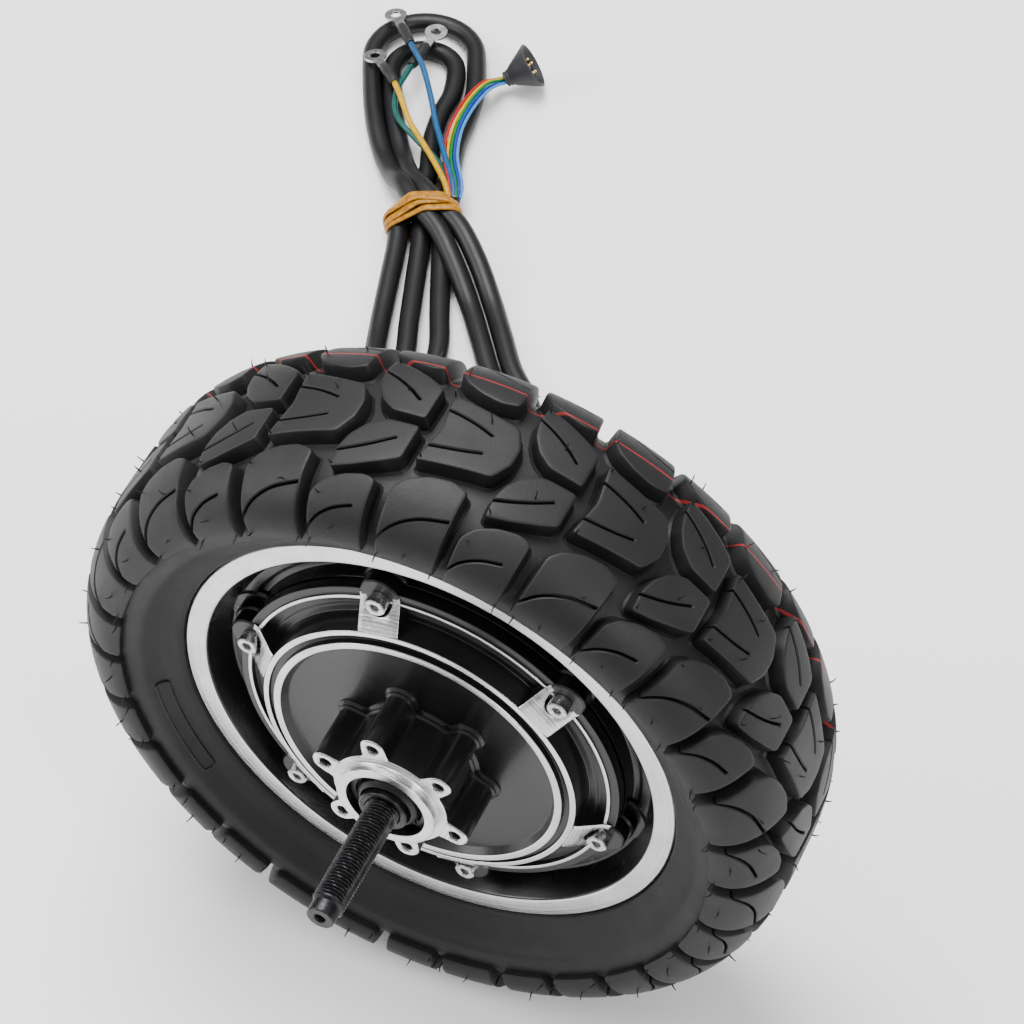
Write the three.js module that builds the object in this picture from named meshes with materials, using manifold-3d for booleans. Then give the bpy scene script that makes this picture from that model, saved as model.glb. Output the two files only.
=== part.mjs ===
// Hub motor wheel: a direct-drive scooter wheel with a fixed axle and a rim that turns on it.
// Millimetres. The axle lies along Y, the brake disc side faces -Y and Z is up.
// The origin is the wheel's centre, and the tyre stands on the plane z = -TYRE_RADIUS.
import * as THREE from 'three';
import { mergeVertices } from 'three/addons/utils/BufferGeometryUtils.js';
import Module from 'manifold-3d';

const wasm = await Module();
wasm.setup();

// Driving dimensions
const GAP = 0.3;                    // clearance kept between touching pieces
const TYRE_RADIUS = 127;            // 10 inch tyre
const TYRE_HALF_WIDTH = 38.9;
const RIM_RADIUS = 88.3;            // outside of the rim flange
const RIM_HALF_WIDTH = 24;
const BEAD_RADIUS = 82.5;           // 6.5 inch bead seat
const SHELL_BORE = 61;              // motor bore inside the rim
const SHELL_HALF_WIDTH = 18;        // end faces that the two covers bolt to
const COVER_FLANGE_RADIUS = 68.5;
const COVER_FLANGE_FACE = 23;       // where the cover screws seat
const COVER_DISC_FACE = 28.5;       // flat face between the hub and the raised rings
const COVER_INNER_FACE = 24.5;
const SCREW_COUNT = 6;
const SCREW_CIRCLE = 65.7;
const SCREW_RADIUS = 2;             // M4
const SCREW_HEAD_RADIUS = 3.5;
const SCREW_HEAD_LENGTH = 4;
const SCREW_LENGTH = 12;
const FIRST_BOLT_ANGLE = THREE.MathUtils.degToRad(43.1);
const LUG_CIRCLE = 24;              // six-bolt disc mount, 48 mm bolt circle
const LUG_RADIUS = 4.6;
const LUG_HOLE_RADIUS = 2.1;        // M5 tapping size
const LUG_HOLE_DEPTH = 14;
const LUG_FACE = 51;                // disc mounting face, measured from the wheel's centre
const LUG_VALLEY = 20.3;
const DISC_PILOT_RADIUS = 17.5;
const DISC_PILOT_FACE = 54.4;
const AXLE_END = 101.3;
const AXLE_THREAD_RADIUS = 6;       // M12
const AXLE_FLAT = 5;                // half the distance across the axle's flats
const AXLE_BODY_RADIUS = 11;
const AXLE_JOURNAL_RADIUS = 10;     // cable side
const AXLE_SHOULDER = 70;           // shoulder on the cable side, against the fork or frame
const AXLE_BORE_RADIUS = 4.8;
const CABLE_EXIT_Y = 62;            // side hole in the axle that the cable leaves through
const CABLE_RADIUS = 4.35;
const STATOR_RADIUS = 54.2;
const STATOR_BORE = 36.3;
const STATOR_HALF_LENGTH = 13.5;
const TOOTH_COUNT = 27;
const MAGNET_COUNT = 30;
const MAGNET_THICKNESS = 2.3;
const FLOOR = -TYRE_RADIUS;

const ROUND = MAGNET_COUNT;         // sides of the large turned pieces
const TYRE_SIDES = 36;
const SMALL_ROUND = 18;
const SCREW_SIDES = 8;

const wheel = new THREE.Group();

// Materials
function paint(color, roughness, metalness) {
  return new THREE.MeshStandardMaterial({ color, roughness, metalness });
}
const tyreRubber = () => paint(0x1d1d1f, 0.8, 0);
const sealRubber = () => paint(0x101012, 0.6, 0);
const blackPaint = () => paint(0x0c0c0e, 0.3, 0.4);
const bareAluminium = () => paint(0xcfd1d4, 0.35, 0.9);
const steel = () => paint(0xb9bbbf, 0.3, 1);
const blackSteel = () => paint(0x18181a, 0.45, 0.8);
const plainSteel = () => paint(0x6e7074, 0.5, 0.9);
const copper = () => paint(0xb4672e, 0.4, 0.9);
const magnet = () => paint(0x9a9da1, 0.35, 0.9);
const cableSheath = () => paint(0x0e0e10, 0.5, 0);

// Shape helpers
function boltAngle(index) {
  return FIRST_BOLT_ANGLE + index * 2 * Math.PI / SCREW_COUNT;
}

function around(radius, angle, y = 0) {
  return new THREE.Vector3(radius * Math.cos(angle), y, radius * Math.sin(angle));
}

// A ring turned about Y from a closed section of [radius, y] points.
function ring(section, sides = ROUND, start = 0) {
  const points = section.map(([radius, y]) => new THREE.Vector2(radius, y));
  if (THREE.ShapeUtils.area(points) < 0) points.reverse();
  return new THREE.LatheGeometry([...points, points[0]], sides, start);
}

// A piece turned about Y whose [radius, y] outline starts and ends on the axis, with y rising.
function spindle(outline, sides = SMALL_ROUND) {
  return new THREE.LatheGeometry(outline.map(([radius, y]) => new THREE.Vector2(radius, y)), sides);
}

function sleeve(inner, outer, front, back, sides = SMALL_ROUND) {
  return ring([[inner, front], [outer, front], [outer, back], [inner, back]], sides);
}

// An outline in the wheel's plane, given thickness from y = front to y = back.
function plate(shape, front, back, curveSegments = 6) {
  const depth = back - front;
  const geometry = new THREE.ExtrudeGeometry(shape, { depth, bevelEnabled: false, curveSegments });
  return geometry.rotateX(Math.PI / 2).translate(0, back, 0);
}

function rodAlongY(radius, front, back, x, z, sides = 12) {
  const geometry = new THREE.CylinderGeometry(radius, radius, back - front, sides);
  return geometry.translate(x, (front + back) / 2, z);
}

function solid(geometry) {
  const bare = geometry.clone();
  bare.deleteAttribute('normal');
  bare.deleteAttribute('uv');
  const merged = mergeVertices(bare, 1e-4);
  const mesh = new wasm.Mesh({
    numProp: 3,
    vertProperties: new Float32Array(merged.attributes.position.array),
    triVerts: new Uint32Array(merged.index.array),
  });
  return new wasm.Manifold(mesh);
}

function geometryOf(body) {
  const mesh = body.getMesh();
  const geometry = new THREE.BufferGeometry();
  geometry.setAttribute('position', new THREE.BufferAttribute(mesh.vertProperties, 3));
  geometry.setIndex(new THREE.BufferAttribute(mesh.triVerts, 1));
  return geometry;
}

function join(geometries) {
  return geometries.map(solid).reduce((whole, next) => whole.add(next));
}

function cut(body, geometries) {
  return geometries.map(solid).reduce((rest, tool) => rest.subtract(tool), body);
}

// A tube along a curve, round in section.
function tube(points, radius, sides, steps) {
  const section = new THREE.Shape();
  for (let side = 0; side < sides; side += 1) {
    const angle = 2 * Math.PI * side / sides;
    const place = [radius * Math.cos(angle), radius * Math.sin(angle)];
    if (side === 0) section.moveTo(...place);
    else section.lineTo(...place);
  }
  const path = new THREE.CatmullRomCurve3(points.map((point) => new THREE.Vector3(...point)));
  return new THREE.ExtrudeGeometry(section, { steps, extrudePath: path, bevelEnabled: false });
}

function add(name, shape, material, parent = wheel) {
  const geometry = shape.isBufferGeometry ? shape : geometryOf(shape);
  const mesh = new THREE.Mesh(geometry, material);
  mesh.name = name;
  parent.add(mesh);
  return mesh;
}

// Mirrors a section across the wheel's middle plane, so that it closes on itself.
function bothSides(half) {
  return [...half, ...half.map(([radius, y]) => [radius, -y]).reverse()];
}

// Distances from the wheel's middle plane, put on the disc side (-1) or the cable side (1).
function onSide(side, section) {
  return section.map(([radius, distance]) => [radius, side * distance]);
}

function plateOnSide(side, shape, near, far, curveSegments) {
  return plate(shape, Math.min(side * near, side * far), Math.max(side * near, side * far), curveSegments);
}

function rodOnSide(side, radius, near, far, place, sides) {
  return rodAlongY(radius, Math.min(side * near, side * far), Math.max(side * near, side * far),
    place.x, place.z, sides);
}

function addTyre() {
  const crown = TYRE_RADIUS / Math.cos(Math.PI / TYRE_SIDES);
  const half = [
    [crown, -8], [126.7, -14.5], [123.8, -28], [118.3, -35.6],
    [108.5, -TYRE_HALF_WIDTH], [101.5, -35.2], [RIM_RADIUS + 1.5, -25], [RIM_RADIUS + 0.4, -20.5],
    [84.6, -20.1], [BEAD_RADIUS + 0.5, -18.4], [BEAD_RADIUS + 0.5, -11.5],
    [86.5, -12.5], [90, -20.5], [100, -29], [108, -32.5], [116.5, -23], [119.5, -9],
  ];
  add('tyre', ring(bothSides(half), TYRE_SIDES, Math.PI / TYRE_SIDES), tyreRubber());
}

const VALVE_ANGLE = FIRST_BOLT_ANGLE + Math.PI / SCREW_COUNT;
const VALVE_CIRCLE = 72.8;
const VALVE_HOLE_RADIUS = 3.6;
const DISH_FLOOR = 12.5;
const WELL_RADIUS = 77.8;

function addRim() {
  const half = [
    [SHELL_BORE, -SHELL_HALF_WIDTH], [68.9, -SHELL_HALF_WIDTH], [69.2, -DISH_FLOOR],
    [76.4, -DISH_FLOOR], [81, -RIM_HALF_WIDTH], [RIM_RADIUS, -RIM_HALF_WIDTH],
    [RIM_RADIUS, -21], [84.2, -20.6], [BEAD_RADIUS, -18.6], [BEAD_RADIUS - 0.4, -9.5],
    [WELL_RADIUS, -5],
  ];
  const blank = solid(ring(bothSides(half), TYRE_SIDES, Math.PI / TYRE_SIDES));
  const bosses = [];
  const holes = [];
  for (const side of [-1, 1]) {
    for (let index = 0; index < SCREW_COUNT; index += 1) {
      const place = around(SCREW_CIRCLE + 0.9, boltAngle(index));
      const hole = around(SCREW_CIRCLE, boltAngle(index));
      bosses.push(rodOnSide(side, 7.3, DISH_FLOOR - 1, SHELL_HALF_WIDTH, place, 10));
      holes.push(rodOnSide(side, SCREW_RADIUS + GAP, 6, 19, hole, SCREW_SIDES));
    }
  }
  const bore = rodAlongY(SHELL_BORE, -19, 19, 0, 0, TYRE_SIDES);
  bore.rotateY(Math.PI / TYRE_SIDES);
  const valve = around(VALVE_CIRCLE, VALVE_ANGLE);
  holes.push(rodAlongY(VALVE_HOLE_RADIUS, 3, DISH_FLOOR + 1, valve.x, valve.z));
  const airHole = new THREE.CylinderGeometry(1.5, 1.5, 10, 8);
  airHole.rotateZ(-Math.PI / 2).translate(VALVE_CIRCLE + 5, 5, 0).rotateY(-VALVE_ANGLE);
  holes.push(airHole);
  const body = bosses.map(solid).reduce((whole, next) => whole.add(next), blank);
  add('rim', cut(body, [bore, ...holes]), blackPaint());
}

function addValve() {
  const stem = [[0, 5], [3.2, 5], [3.2, 16], [2.6, 17], [2.6, 36], [0, 36]];
  const cap = [[0, 36.3], [3.4, 36.3], [3.4, 43], [2.2, 44.5], [0, 44.5]];
  const place = around(VALVE_CIRCLE, VALVE_ANGLE);
  add('valve_stem', spindle(stem, 12), steel()).position.copy(place);
  add('valve_cap', spindle(cap, 12), sealRubber()).position.copy(place);
}

function addRotorRingAndMagnets() {
  const outer = SHELL_BORE - GAP;
  const inner = STATOR_RADIUS + 0.7 + MAGNET_THICKNESS + GAP;
  add('rotor_ring', sleeve(inner, outer, -15.8, 15.8, ROUND), plainSteel());
  add('magnet_ring', sleeve(inner - GAP - MAGNET_THICKNESS, inner - GAP, -14, 14, ROUND), magnet());
}

// The face, rings, pockets and flange that both covers share, from the hub outwards and back in.
const COVER_SECTION = [
  [46.5, COVER_DISC_FACE], [48.2, 31.4], [52, 31.4], [52, 28.8],
  [54.3, 28.8], [54.3, 30.2], [56.9, 30], [57.6, 21.6],
  [64.2, 21.6], [64.2, 23.2], [65.6, 23.2], [65.6, 22.3],
  [COVER_FLANGE_RADIUS, 22.3], [COVER_FLANGE_RADIUS, SHELL_HALF_WIDTH + GAP],
  [SHELL_BORE - GAP, SHELL_HALF_WIDTH + GAP], [SHELL_BORE - GAP, 16.4], [57.5, 16.4],
  [57.5, 20], [54.5, COVER_INNER_FACE],
];
const PAD_WIDTH = 14.5;

// A spoke-like pad that slopes from the raised ring down to a cover screw.
function coverPad(side, angle) {
  const outline = [[56, 21], [67, 21], [67, COVER_FLANGE_FACE], [65, 23.4], [57, 29.9], [56, 29.9]];
  const shape = new THREE.Shape(onSide(side, outline).map(([x, y]) => new THREE.Vector2(x, y)));
  const pad = new THREE.ExtrudeGeometry(shape, { depth: PAD_WIDTH, bevelEnabled: false });
  return pad.translate(0, 0, -PAD_WIDTH / 2).rotateY(-angle);
}

function cover(side, hubSection, extras, cuts) {
  const blank = ring(onSide(side, [...hubSection, ...COVER_SECTION]));
  const added = [...extras];
  const holes = [...cuts];
  for (let index = 0; index < SCREW_COUNT; index += 1) {
    const angle = boltAngle(index);
    const place = around(SCREW_CIRCLE, angle);
    const ear = around(SCREW_CIRCLE + 1, angle);
    added.push(coverPad(side, angle));
    added.push(rodOnSide(side, 7, SHELL_HALF_WIDTH + GAP, COVER_FLANGE_FACE, ear, 10));
    holes.push(rodOnSide(side, 4.6, COVER_FLANGE_FACE, 32, place, 10));
    holes.push(rodOnSide(side, SCREW_RADIUS + GAP, 16, 24, place, SCREW_SIDES));
  }
  return cut(join([blank, ...added]), holes);
}

// The six-lobed outline of the disc mount, with a hole where the turned hub runs through it.
function lugOutline() {
  const shape = new THREE.Shape();
  const start = LUG_CIRCLE - 0.9;
  for (let index = 0; index < SCREW_COUNT; index += 1) {
    const angle = boltAngle(index);
    const at = (radius, across) => [
      radius * Math.cos(angle) - across * Math.sin(angle),
      radius * Math.sin(angle) + across * Math.cos(angle),
    ];
    const valley = (turn) => at(LUG_VALLEY * Math.cos(turn), LUG_VALLEY * Math.sin(turn));
    if (index === 0) shape.moveTo(...valley(-0.36));
    else shape.lineTo(...valley(-0.36));
    shape.quadraticCurveTo(...at(20.6, -LUG_RADIUS - 0.2), ...at(start, -LUG_RADIUS));
    shape.absarc(...at(LUG_CIRCLE, 0), LUG_RADIUS, angle - Math.PI / 2, angle + Math.PI / 2, false);
    shape.lineTo(...at(start, LUG_RADIUS));
    shape.quadraticCurveTo(...at(20.6, LUG_RADIUS + 0.2), ...valley(0.36));
  }
  shape.closePath();
  const hole = new THREE.Path();
  hole.absarc(0, 0, DISC_PILOT_RADIUS - 1, 0, 2 * Math.PI, true);
  shape.holes.push(hole);
  return shape;
}

// Bearings: bore and outside radius, and the near and far faces measured from the middle plane
const DISC_BEARING = { bore: 6, outside: 14, near: 36.7, far: 44.7, side: -1 };
const CABLE_BEARING = { bore: 10, outside: 21, near: 27, far: 39, side: 1 };
const DISC_SEAL = { bore: 8.9, outside: 13.7, near: 45, far: 50, side: -1 };
const DISC_CIRCLIP = { bore: 11.4, outside: 13.7, near: 50.3, far: 51.5, side: -1 };
const DISC_SEAL_LIP = { outside: 11.1, shoulder: 51.8, edge: 0.5, end: 54 };
const AXLE_SPACER = { bore: 6.3, outside: 8.6, near: 45, far: 56.5, side: -1 };
const CABLE_SEAL = { bore: 10.4, outside: 17.2, near: 40.7, far: 47.2, side: 1 };

function addCovers() {
  const discHub = [
    [11.5, COVER_INNER_FACE], [11.5, DISC_BEARING.near - GAP], [DISC_BEARING.outside, DISC_BEARING.near - GAP],
    [DISC_BEARING.outside, DISC_PILOT_FACE], [DISC_PILOT_RADIUS, DISC_PILOT_FACE],
    [DISC_PILOT_RADIUS, LUG_FACE], [LUG_VALLEY, LUG_FACE], [LUG_VALLEY, COVER_DISC_FACE],
  ];
  const lugHoles = [];
  for (let index = 0; index < SCREW_COUNT; index += 1) {
    const place = around(LUG_CIRCLE, boltAngle(index));
    lugHoles.push(rodOnSide(-1, LUG_HOLE_RADIUS, LUG_FACE - LUG_HOLE_DEPTH, LUG_FACE + 1, place, 8));
  }
  const lugs = plateOnSide(-1, lugOutline(), COVER_DISC_FACE - 1, LUG_FACE, 5);
  add('disc_side_cover', cover(-1, discHub, [lugs], lugHoles), blackPaint());

  const cableHub = [
    [CABLE_BEARING.outside, COVER_INNER_FACE], [CABLE_BEARING.outside, CABLE_BEARING.far + GAP],
    [18.4, CABLE_BEARING.far + GAP], [18.4, 40.4], [17.5, 40.4], [17.5, 48],
    [25.5, 48], [25.5, COVER_DISC_FACE],
  ];
  add('cable_side_cover', cover(1, cableHub, [], []), blackPaint());
}

function addCoverScrews() {
  const seat = COVER_FLANGE_FACE + GAP;
  const outline = [
    [0, seat - SCREW_LENGTH], [SCREW_RADIUS, seat - SCREW_LENGTH], [SCREW_RADIUS, seat],
    [SCREW_HEAD_RADIUS, seat], [SCREW_HEAD_RADIUS, seat + SCREW_HEAD_LENGTH],
    [0, seat + SCREW_HEAD_LENGTH],
  ];
  for (const [name, turn] of [['disc_side_screw_', Math.PI], ['cable_side_screw_', 0]]) {
    for (let index = 0; index < SCREW_COUNT; index += 1) {
      const screw = add(name + (index + 1), spindle(outline, SCREW_SIDES), steel());
      screw.position.copy(around(SCREW_CIRCLE, boltAngle(index)));
      screw.rotation.x = turn;
    }
  }
}

function addBearing(name, bearing) {
  const inner = bearing.bore + GAP;
  const outer = bearing.outside - GAP;
  const pitch = (inner + outer) / 2;
  const ball = 0.27 * (outer - inner);
  const front = Math.min(bearing.side * bearing.near, bearing.side * bearing.far);
  const back = Math.max(bearing.side * bearing.near, bearing.side * bearing.far);
  const middle = (front + back) / 2;
  add(name + '_outer_race', sleeve(pitch + ball + GAP, outer, front, back), steel());
  add(name + '_inner_race', sleeve(inner, pitch - ball - GAP, front, back), steel());
  const pieces = [sleeve(pitch - 0.5, pitch + 0.5, middle - ball * 0.7, middle + ball * 0.7)];
  const count = 7;
  for (let index = 0; index < count; index += 1) {
    const place = around(pitch, 2 * Math.PI * index / count);
    pieces.push(new THREE.SphereGeometry(ball, 6, 4).translate(place.x, middle, place.z));
  }
  add(name + '_balls', join(pieces), steel());
}

function addSleeve(name, size, material) {
  const front = Math.min(size.side * size.near, size.side * size.far);
  const back = Math.max(size.side * size.near, size.side * size.far);
  add(name, sleeve(size.bore, size.outside, front, back), material);
}

function addDiscSeal() {
  const { bore, outside, near, far } = DISC_SEAL;
  const lip = DISC_SEAL_LIP;
  const section = [
    [bore, -near], [outside, -near], [outside, -far], [lip.outside, -far],
    [lip.outside, -lip.shoulder], [bore + lip.edge, -lip.end], [bore, -lip.end],
  ];
  add('disc_side_seal', ring(section, SMALL_ROUND), sealRubber());
}

const KEY = { width: 5, height: 4, length: 20 };

function addAxleAndKey() {
  const outline = [
    [0, -AXLE_END], [4.8, -AXLE_END], [4.8, -96.5], [AXLE_THREAD_RADIUS, -95.8],
    [AXLE_THREAD_RADIUS, -36.4], [7.6, -36.4], [7.6, -34], [9.5, -34], [9.5, -24],
    [AXLE_BODY_RADIUS, -24], [AXLE_BODY_RADIUS, CABLE_BEARING.near - GAP],
    [AXLE_JOURNAL_RADIUS, CABLE_BEARING.near - GAP], [AXLE_JOURNAL_RADIUS, AXLE_SHOULDER],
    [AXLE_THREAD_RADIUS, AXLE_SHOULDER], [AXLE_THREAD_RADIUS, 95.8], [4.8, 96.5], [4.8, AXLE_END], [0, AXLE_END],
  ];
  const flats = [];
  for (const [front, back] of [[-AXLE_END - 1, -58], [74, AXLE_END + 1]]) {
    for (const side of [-1, 1]) {
      const block = new THREE.BoxGeometry(4, back - front, 16);
      flats.push(block.translate(side * (AXLE_FLAT + 2), (front + back) / 2, 0));
    }
  }
  const bore = rodAlongY(AXLE_BORE_RADIUS, 14, CABLE_EXIT_Y + 4, 0, 0);
  const sideHole = new THREE.CylinderGeometry(AXLE_BORE_RADIUS, AXLE_BORE_RADIUS, 14, 12);
  sideHole.rotateX(Math.PI / 2).translate(0, CABLE_EXIT_Y, -7);
  const innerHole = new THREE.CylinderGeometry(4.2, 4.2, 14, 12);
  innerHole.rotateX(Math.PI / 2).translate(0, 18.5, 7);
  const keyway = new THREE.BoxGeometry(KEY.width + 2 * GAP, KEY.length + 2 * GAP, 5);
  keyway.translate(0, 0, AXLE_BODY_RADIUS);
  const key = new THREE.BoxGeometry(KEY.width, KEY.length, KEY.height);
  add('axle', cut(solid(spindle(outline, SMALL_ROUND)), [...flats, bore, sideHole, innerHole, keyway]), blackSteel());
  add('axle_key', key.translate(0, 0, AXLE_BODY_RADIUS - 2.5 + GAP + KEY.height / 2), plainSteel());
}

function addStator() {
  const hub = AXLE_BODY_RADIUS + GAP;
  const carrierSection = [
    [hub, -13], [18, -13], [18, -3.5], [31, -3.5], [31, -13], [STATOR_BORE - GAP, -13],
  ];
  const keyway = new THREE.BoxGeometry(KEY.width + 2 * GAP, 28, 8);
  keyway.translate(0, 0, 10);
  const carrier = cut(solid(ring(bothSides(carrierSection))), [keyway]);
  add('stator_carrier', carrier, bareAluminium());

  const pitch = 2 * Math.PI / TOOTH_COUNT;
  const neck = 2.2;
  const shoe = 0.42 * pitch;
  const outline = [];
  for (let tooth = 0; tooth < TOOTH_COUNT; tooth += 1) {
    const angle = tooth * pitch;
    const point = (radius, turn) => new THREE.Vector2(
      radius * Math.cos(angle + turn),
      radius * Math.sin(angle + turn),
    );
    outline.push(point(41, -neck / 41), point(51, -neck / 51), point(52.4, -shoe));
    outline.push(point(STATOR_RADIUS, -shoe), point(STATOR_RADIUS, shoe));
    outline.push(point(52.4, shoe), point(51, neck / 51), point(41, neck / 41));
  }
  const core = new THREE.Shape(outline);
  const bore = new THREE.Path();
  bore.absarc(0, 0, STATOR_BORE, 0, 2 * Math.PI, true);
  core.holes.push(bore);
  add('stator_core', plate(core, -STATOR_HALF_LENGTH, STATOR_HALF_LENGTH, ROUND / 2), plainSteel());

  const coils = [sleeve(41.6, 50.4, -20.5, -14, ROUND), sleeve(41.6, 50.4, 14, 20.5, ROUND)];
  for (let slot = 0; slot < TOOTH_COUNT; slot += 1) {
    const bar = new THREE.BoxGeometry(7.4, 30, 4.2);
    coils.push(bar.translate(46, 0, 0).rotateY(-(slot + 0.5) * pitch));
  }
  add('stator_windings', join(coils), copper());
}

const BOARD_FACE = 21;

function addHallBoard() {
  const spread = 0.5;
  const board = new THREE.Shape();
  board.absarc(0, 0, 53.8, Math.PI / 2 - spread, Math.PI / 2 + spread, false);
  board.absarc(0, 0, 42, Math.PI / 2 + spread, Math.PI / 2 - spread, true);
  board.closePath();
  add('hall_board', plate(board, BOARD_FACE, BOARD_FACE + 1.4, 8), paint(0x1e5a34, 0.5, 0));
  for (let index = 0; index < 3; index += 1) {
    const sensor = new THREE.BoxGeometry(4.2, 6, 1.6);
    const height = BOARD_FACE - GAP - 3;
    const mesh = add('hall_sensor_' + (index + 1), sensor, paint(0x121214, 0.5, 0));
    mesh.position.set(0, height, 0);
    mesh.geometry.translate(0, 0, 52.4);
    mesh.rotation.y = (index - 1) * 0.31;
  }
}

// Cable: it leaves the axle's side hole, drops behind the tyre and runs into a tied hank.
const HANK = { x: -158, y: 304, turn: Math.asin(0.4335) };
const HANK_LOW = FLOOR + 0.1;
const ONE_LAYER = 9.2;
const TWO_LAYERS = 17.6;
const BAND_HALF_WIDTH = 3.5;
const CABLE_ROUTE = [
  [0, CABLE_EXIT_Y, -16.6], [0, 62, -32], [-2, 63, -58], [-6, 68, -88], [-14, 78, -110],
  [-27, 93, -120], [-44, 114, -121.8], [-60, 135, -119.5], [-74, 151.5, -115.5], [-84.6, 165.2, -113.9],
];

function addCableExit() {
  const grommet = [[0, -16.3], [6.6, -16.3], [7, -15.8], [7, -11.4], [4.4, -10.3], [4.4, -5.5], [0, -5.5]];
  const piece = add('cable_grommet', spindle(grommet, 12), sealRubber());
  piece.rotation.x = Math.PI / 2;
  piece.position.y = CABLE_EXIT_Y;
  const inside = [[0, 52, 0], [0, 30, 0], [0, 22, 1], [0, 18.6, 8], [0, 18.4, 22]];
  add('inner_wires', tube(inside, 2.5, 8, 10), copper());
  add('cable_lead', tube(CABLE_ROUTE, CABLE_RADIUS, 10, 16), cableSheath());
}

function hankOutline() {
  const shape = new THREE.Shape();
  shape.moveTo(12, 0);
  shape.bezierCurveTo(16, -30, 47, -80, 47, -115);
  shape.absarc(6, -115, 41, 0, -Math.PI, true);
  shape.bezierCurveTo(-35, -80, -18, -25, -12.5, 0);
  shape.bezierCurveTo(-16, 25, -27, 55, -27, 99);
  shape.absarc(0, 99, 27, Math.PI, 0, true);
  shape.bezierCurveTo(27, 60, 17, 30, 12, 0);
  return shape;
}

function bandBlock(grow, halfWidth) {
  const height = TWO_LAYERS + 2 * grow;
  const block = new THREE.BoxGeometry(24.5 + 2 * grow, 2 * halfWidth, height);
  return block.translate(-0.2, 0, HANK_LOW + 1.6 + TWO_LAYERS / 2);
}

function addHank(bundle) {
  const outline = hankOutline();
  const extrude = (depth) => new THREE.ExtrudeGeometry(outline, { depth, bevelEnabled: false, curveSegments: 8 })
    .translate(0, 0, HANK_LOW);
  const lower = new THREE.BoxGeometry(120, 170, 60).translate(0, -77, HANK_LOW);
  const tall = solid(extrude(TWO_LAYERS)).intersect(solid(lower));
  const body = solid(extrude(ONE_LAYER)).add(tall);
  const core = solid(bandBlock(0, BAND_HALF_WIDTH + 2));
  const groove = new THREE.BoxGeometry(80, 2 * BAND_HALF_WIDTH + 2 * GAP, 60).translate(0, 0, HANK_LOW);
  add('cable_hank', body.subtract(solid(groove)).add(core), cableSheath(), bundle);
  const band = solid(bandBlock(1.2, BAND_HALF_WIDTH)).subtract(solid(bandBlock(GAP, BAND_HALF_WIDTH + 1)));
  add('rubber_band', band, paint(0xc98a1e, 0.45, 0), bundle);
}

// Wires that leave the cable's end at the band. Routes are in the hank's own frame: across, along, height.
const PHASE_WIRES = {
  yellow: {
    color: 0xd8b420,
    route: [[0, 8.3, -113.2], [-2, 24, -113.6], [-6, 48, -113.4], [-11, 68, -112.8], [-15, 79, -112.8]],
    sleeveEnd: [-18.5, 87.5, -114.4],
  },
  green: {
    color: 0x1f7a6a,
    route: [[-4, 8.3, -113.2], [-8, 26, -115.4], [-13.5, 54, -116], [-12.8, 72, -115.8], [-8, 84, -115.2]],
    sleeveEnd: [0.5, 101, -115],
  },
  blue: {
    color: 0x3d7fae,
    route: [[4, 8.3, -113.2], [3, 30, -114.5], [2.5, 52, -114.3], [1.5, 70, -112.5], [-1.5, 84, -110.9],
      [-5.5, 95, -110.6]],
    sleeveEnd: [-10.5, 112, -113.2],
  },
};
const PHASE_WIRE_RADIUS = 1.3;
const HEAT_SHRINK_RADIUS = 2.2;
const TERMINAL = { ring: 5, hole: 2.2, tongue: 2, reach: 9.5, thickness: 1.2 };

function terminalShape() {
  const start = Math.asin(TERMINAL.tongue / TERMINAL.ring);
  const shape = new THREE.Shape();
  shape.moveTo(-TERMINAL.tongue, 0);
  shape.lineTo(TERMINAL.tongue, 0);
  shape.absarc(0, TERMINAL.reach, TERMINAL.ring, start - Math.PI / 2, 1.5 * Math.PI - start, false);
  shape.closePath();
  const hole = new THREE.Path();
  hole.absarc(0, TERMINAL.reach, TERMINAL.hole, 0, 2 * Math.PI, true);
  shape.holes.push(hole);
  return shape;
}

function addPhaseWires(bundle) {
  for (const [name, wire] of Object.entries(PHASE_WIRES)) {
    add('phase_wire_' + name, tube(wire.route, PHASE_WIRE_RADIUS, 8, 9), paint(wire.color, 0.5, 0), bundle);
    const from = new THREE.Vector3(...wire.route[wire.route.length - 1]);
    const to = new THREE.Vector3(...wire.sleeveEnd);
    const direction = to.clone().sub(from).normalize();
    const turn = new THREE.Quaternion().setFromUnitVectors(new THREE.Vector3(0, 1, 0), direction);
    const length = from.distanceTo(to) - GAP - 1;
    const shrink = new THREE.CylinderGeometry(HEAT_SHRINK_RADIUS, HEAT_SHRINK_RADIUS, length, 10);
    const shrinkPiece = add('heat_shrink_' + name, shrink, cableSheath(), bundle);
    shrinkPiece.position.copy(to).addScaledVector(direction, -length / 2);
    shrinkPiece.quaternion.copy(turn);
    const plateOptions = { depth: TERMINAL.thickness, bevelEnabled: false, curveSegments: 10 };
    const terminal = new THREE.ExtrudeGeometry(terminalShape(), plateOptions);
    terminal.translate(0, 0, -TERMINAL.thickness / 2);
    const terminalPiece = add('ring_terminal_' + name, terminal, steel(), bundle);
    terminalPiece.position.copy(to).addScaledVector(direction, GAP);
    terminalPiece.quaternion.copy(turn);
  }
}

const HALL_ROUTE = [
  [8.5, 8.3, -112.6], [10, 30, -114], [12.8, 48, -115], [17.5, 61, -115], [22, 69.5, -114.9],
  [26.4, 75.6, -114.8], [28.6, 78, -115.6], [30.6, 80.3, -117.4], [32.6, 82.4, -119.6], [34.8, 83.7, -120.3],
];
const BOOT = { across: 36.4, along: 84, height: -119.5, turn: 1.431, tilt: 0.5 };

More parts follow.
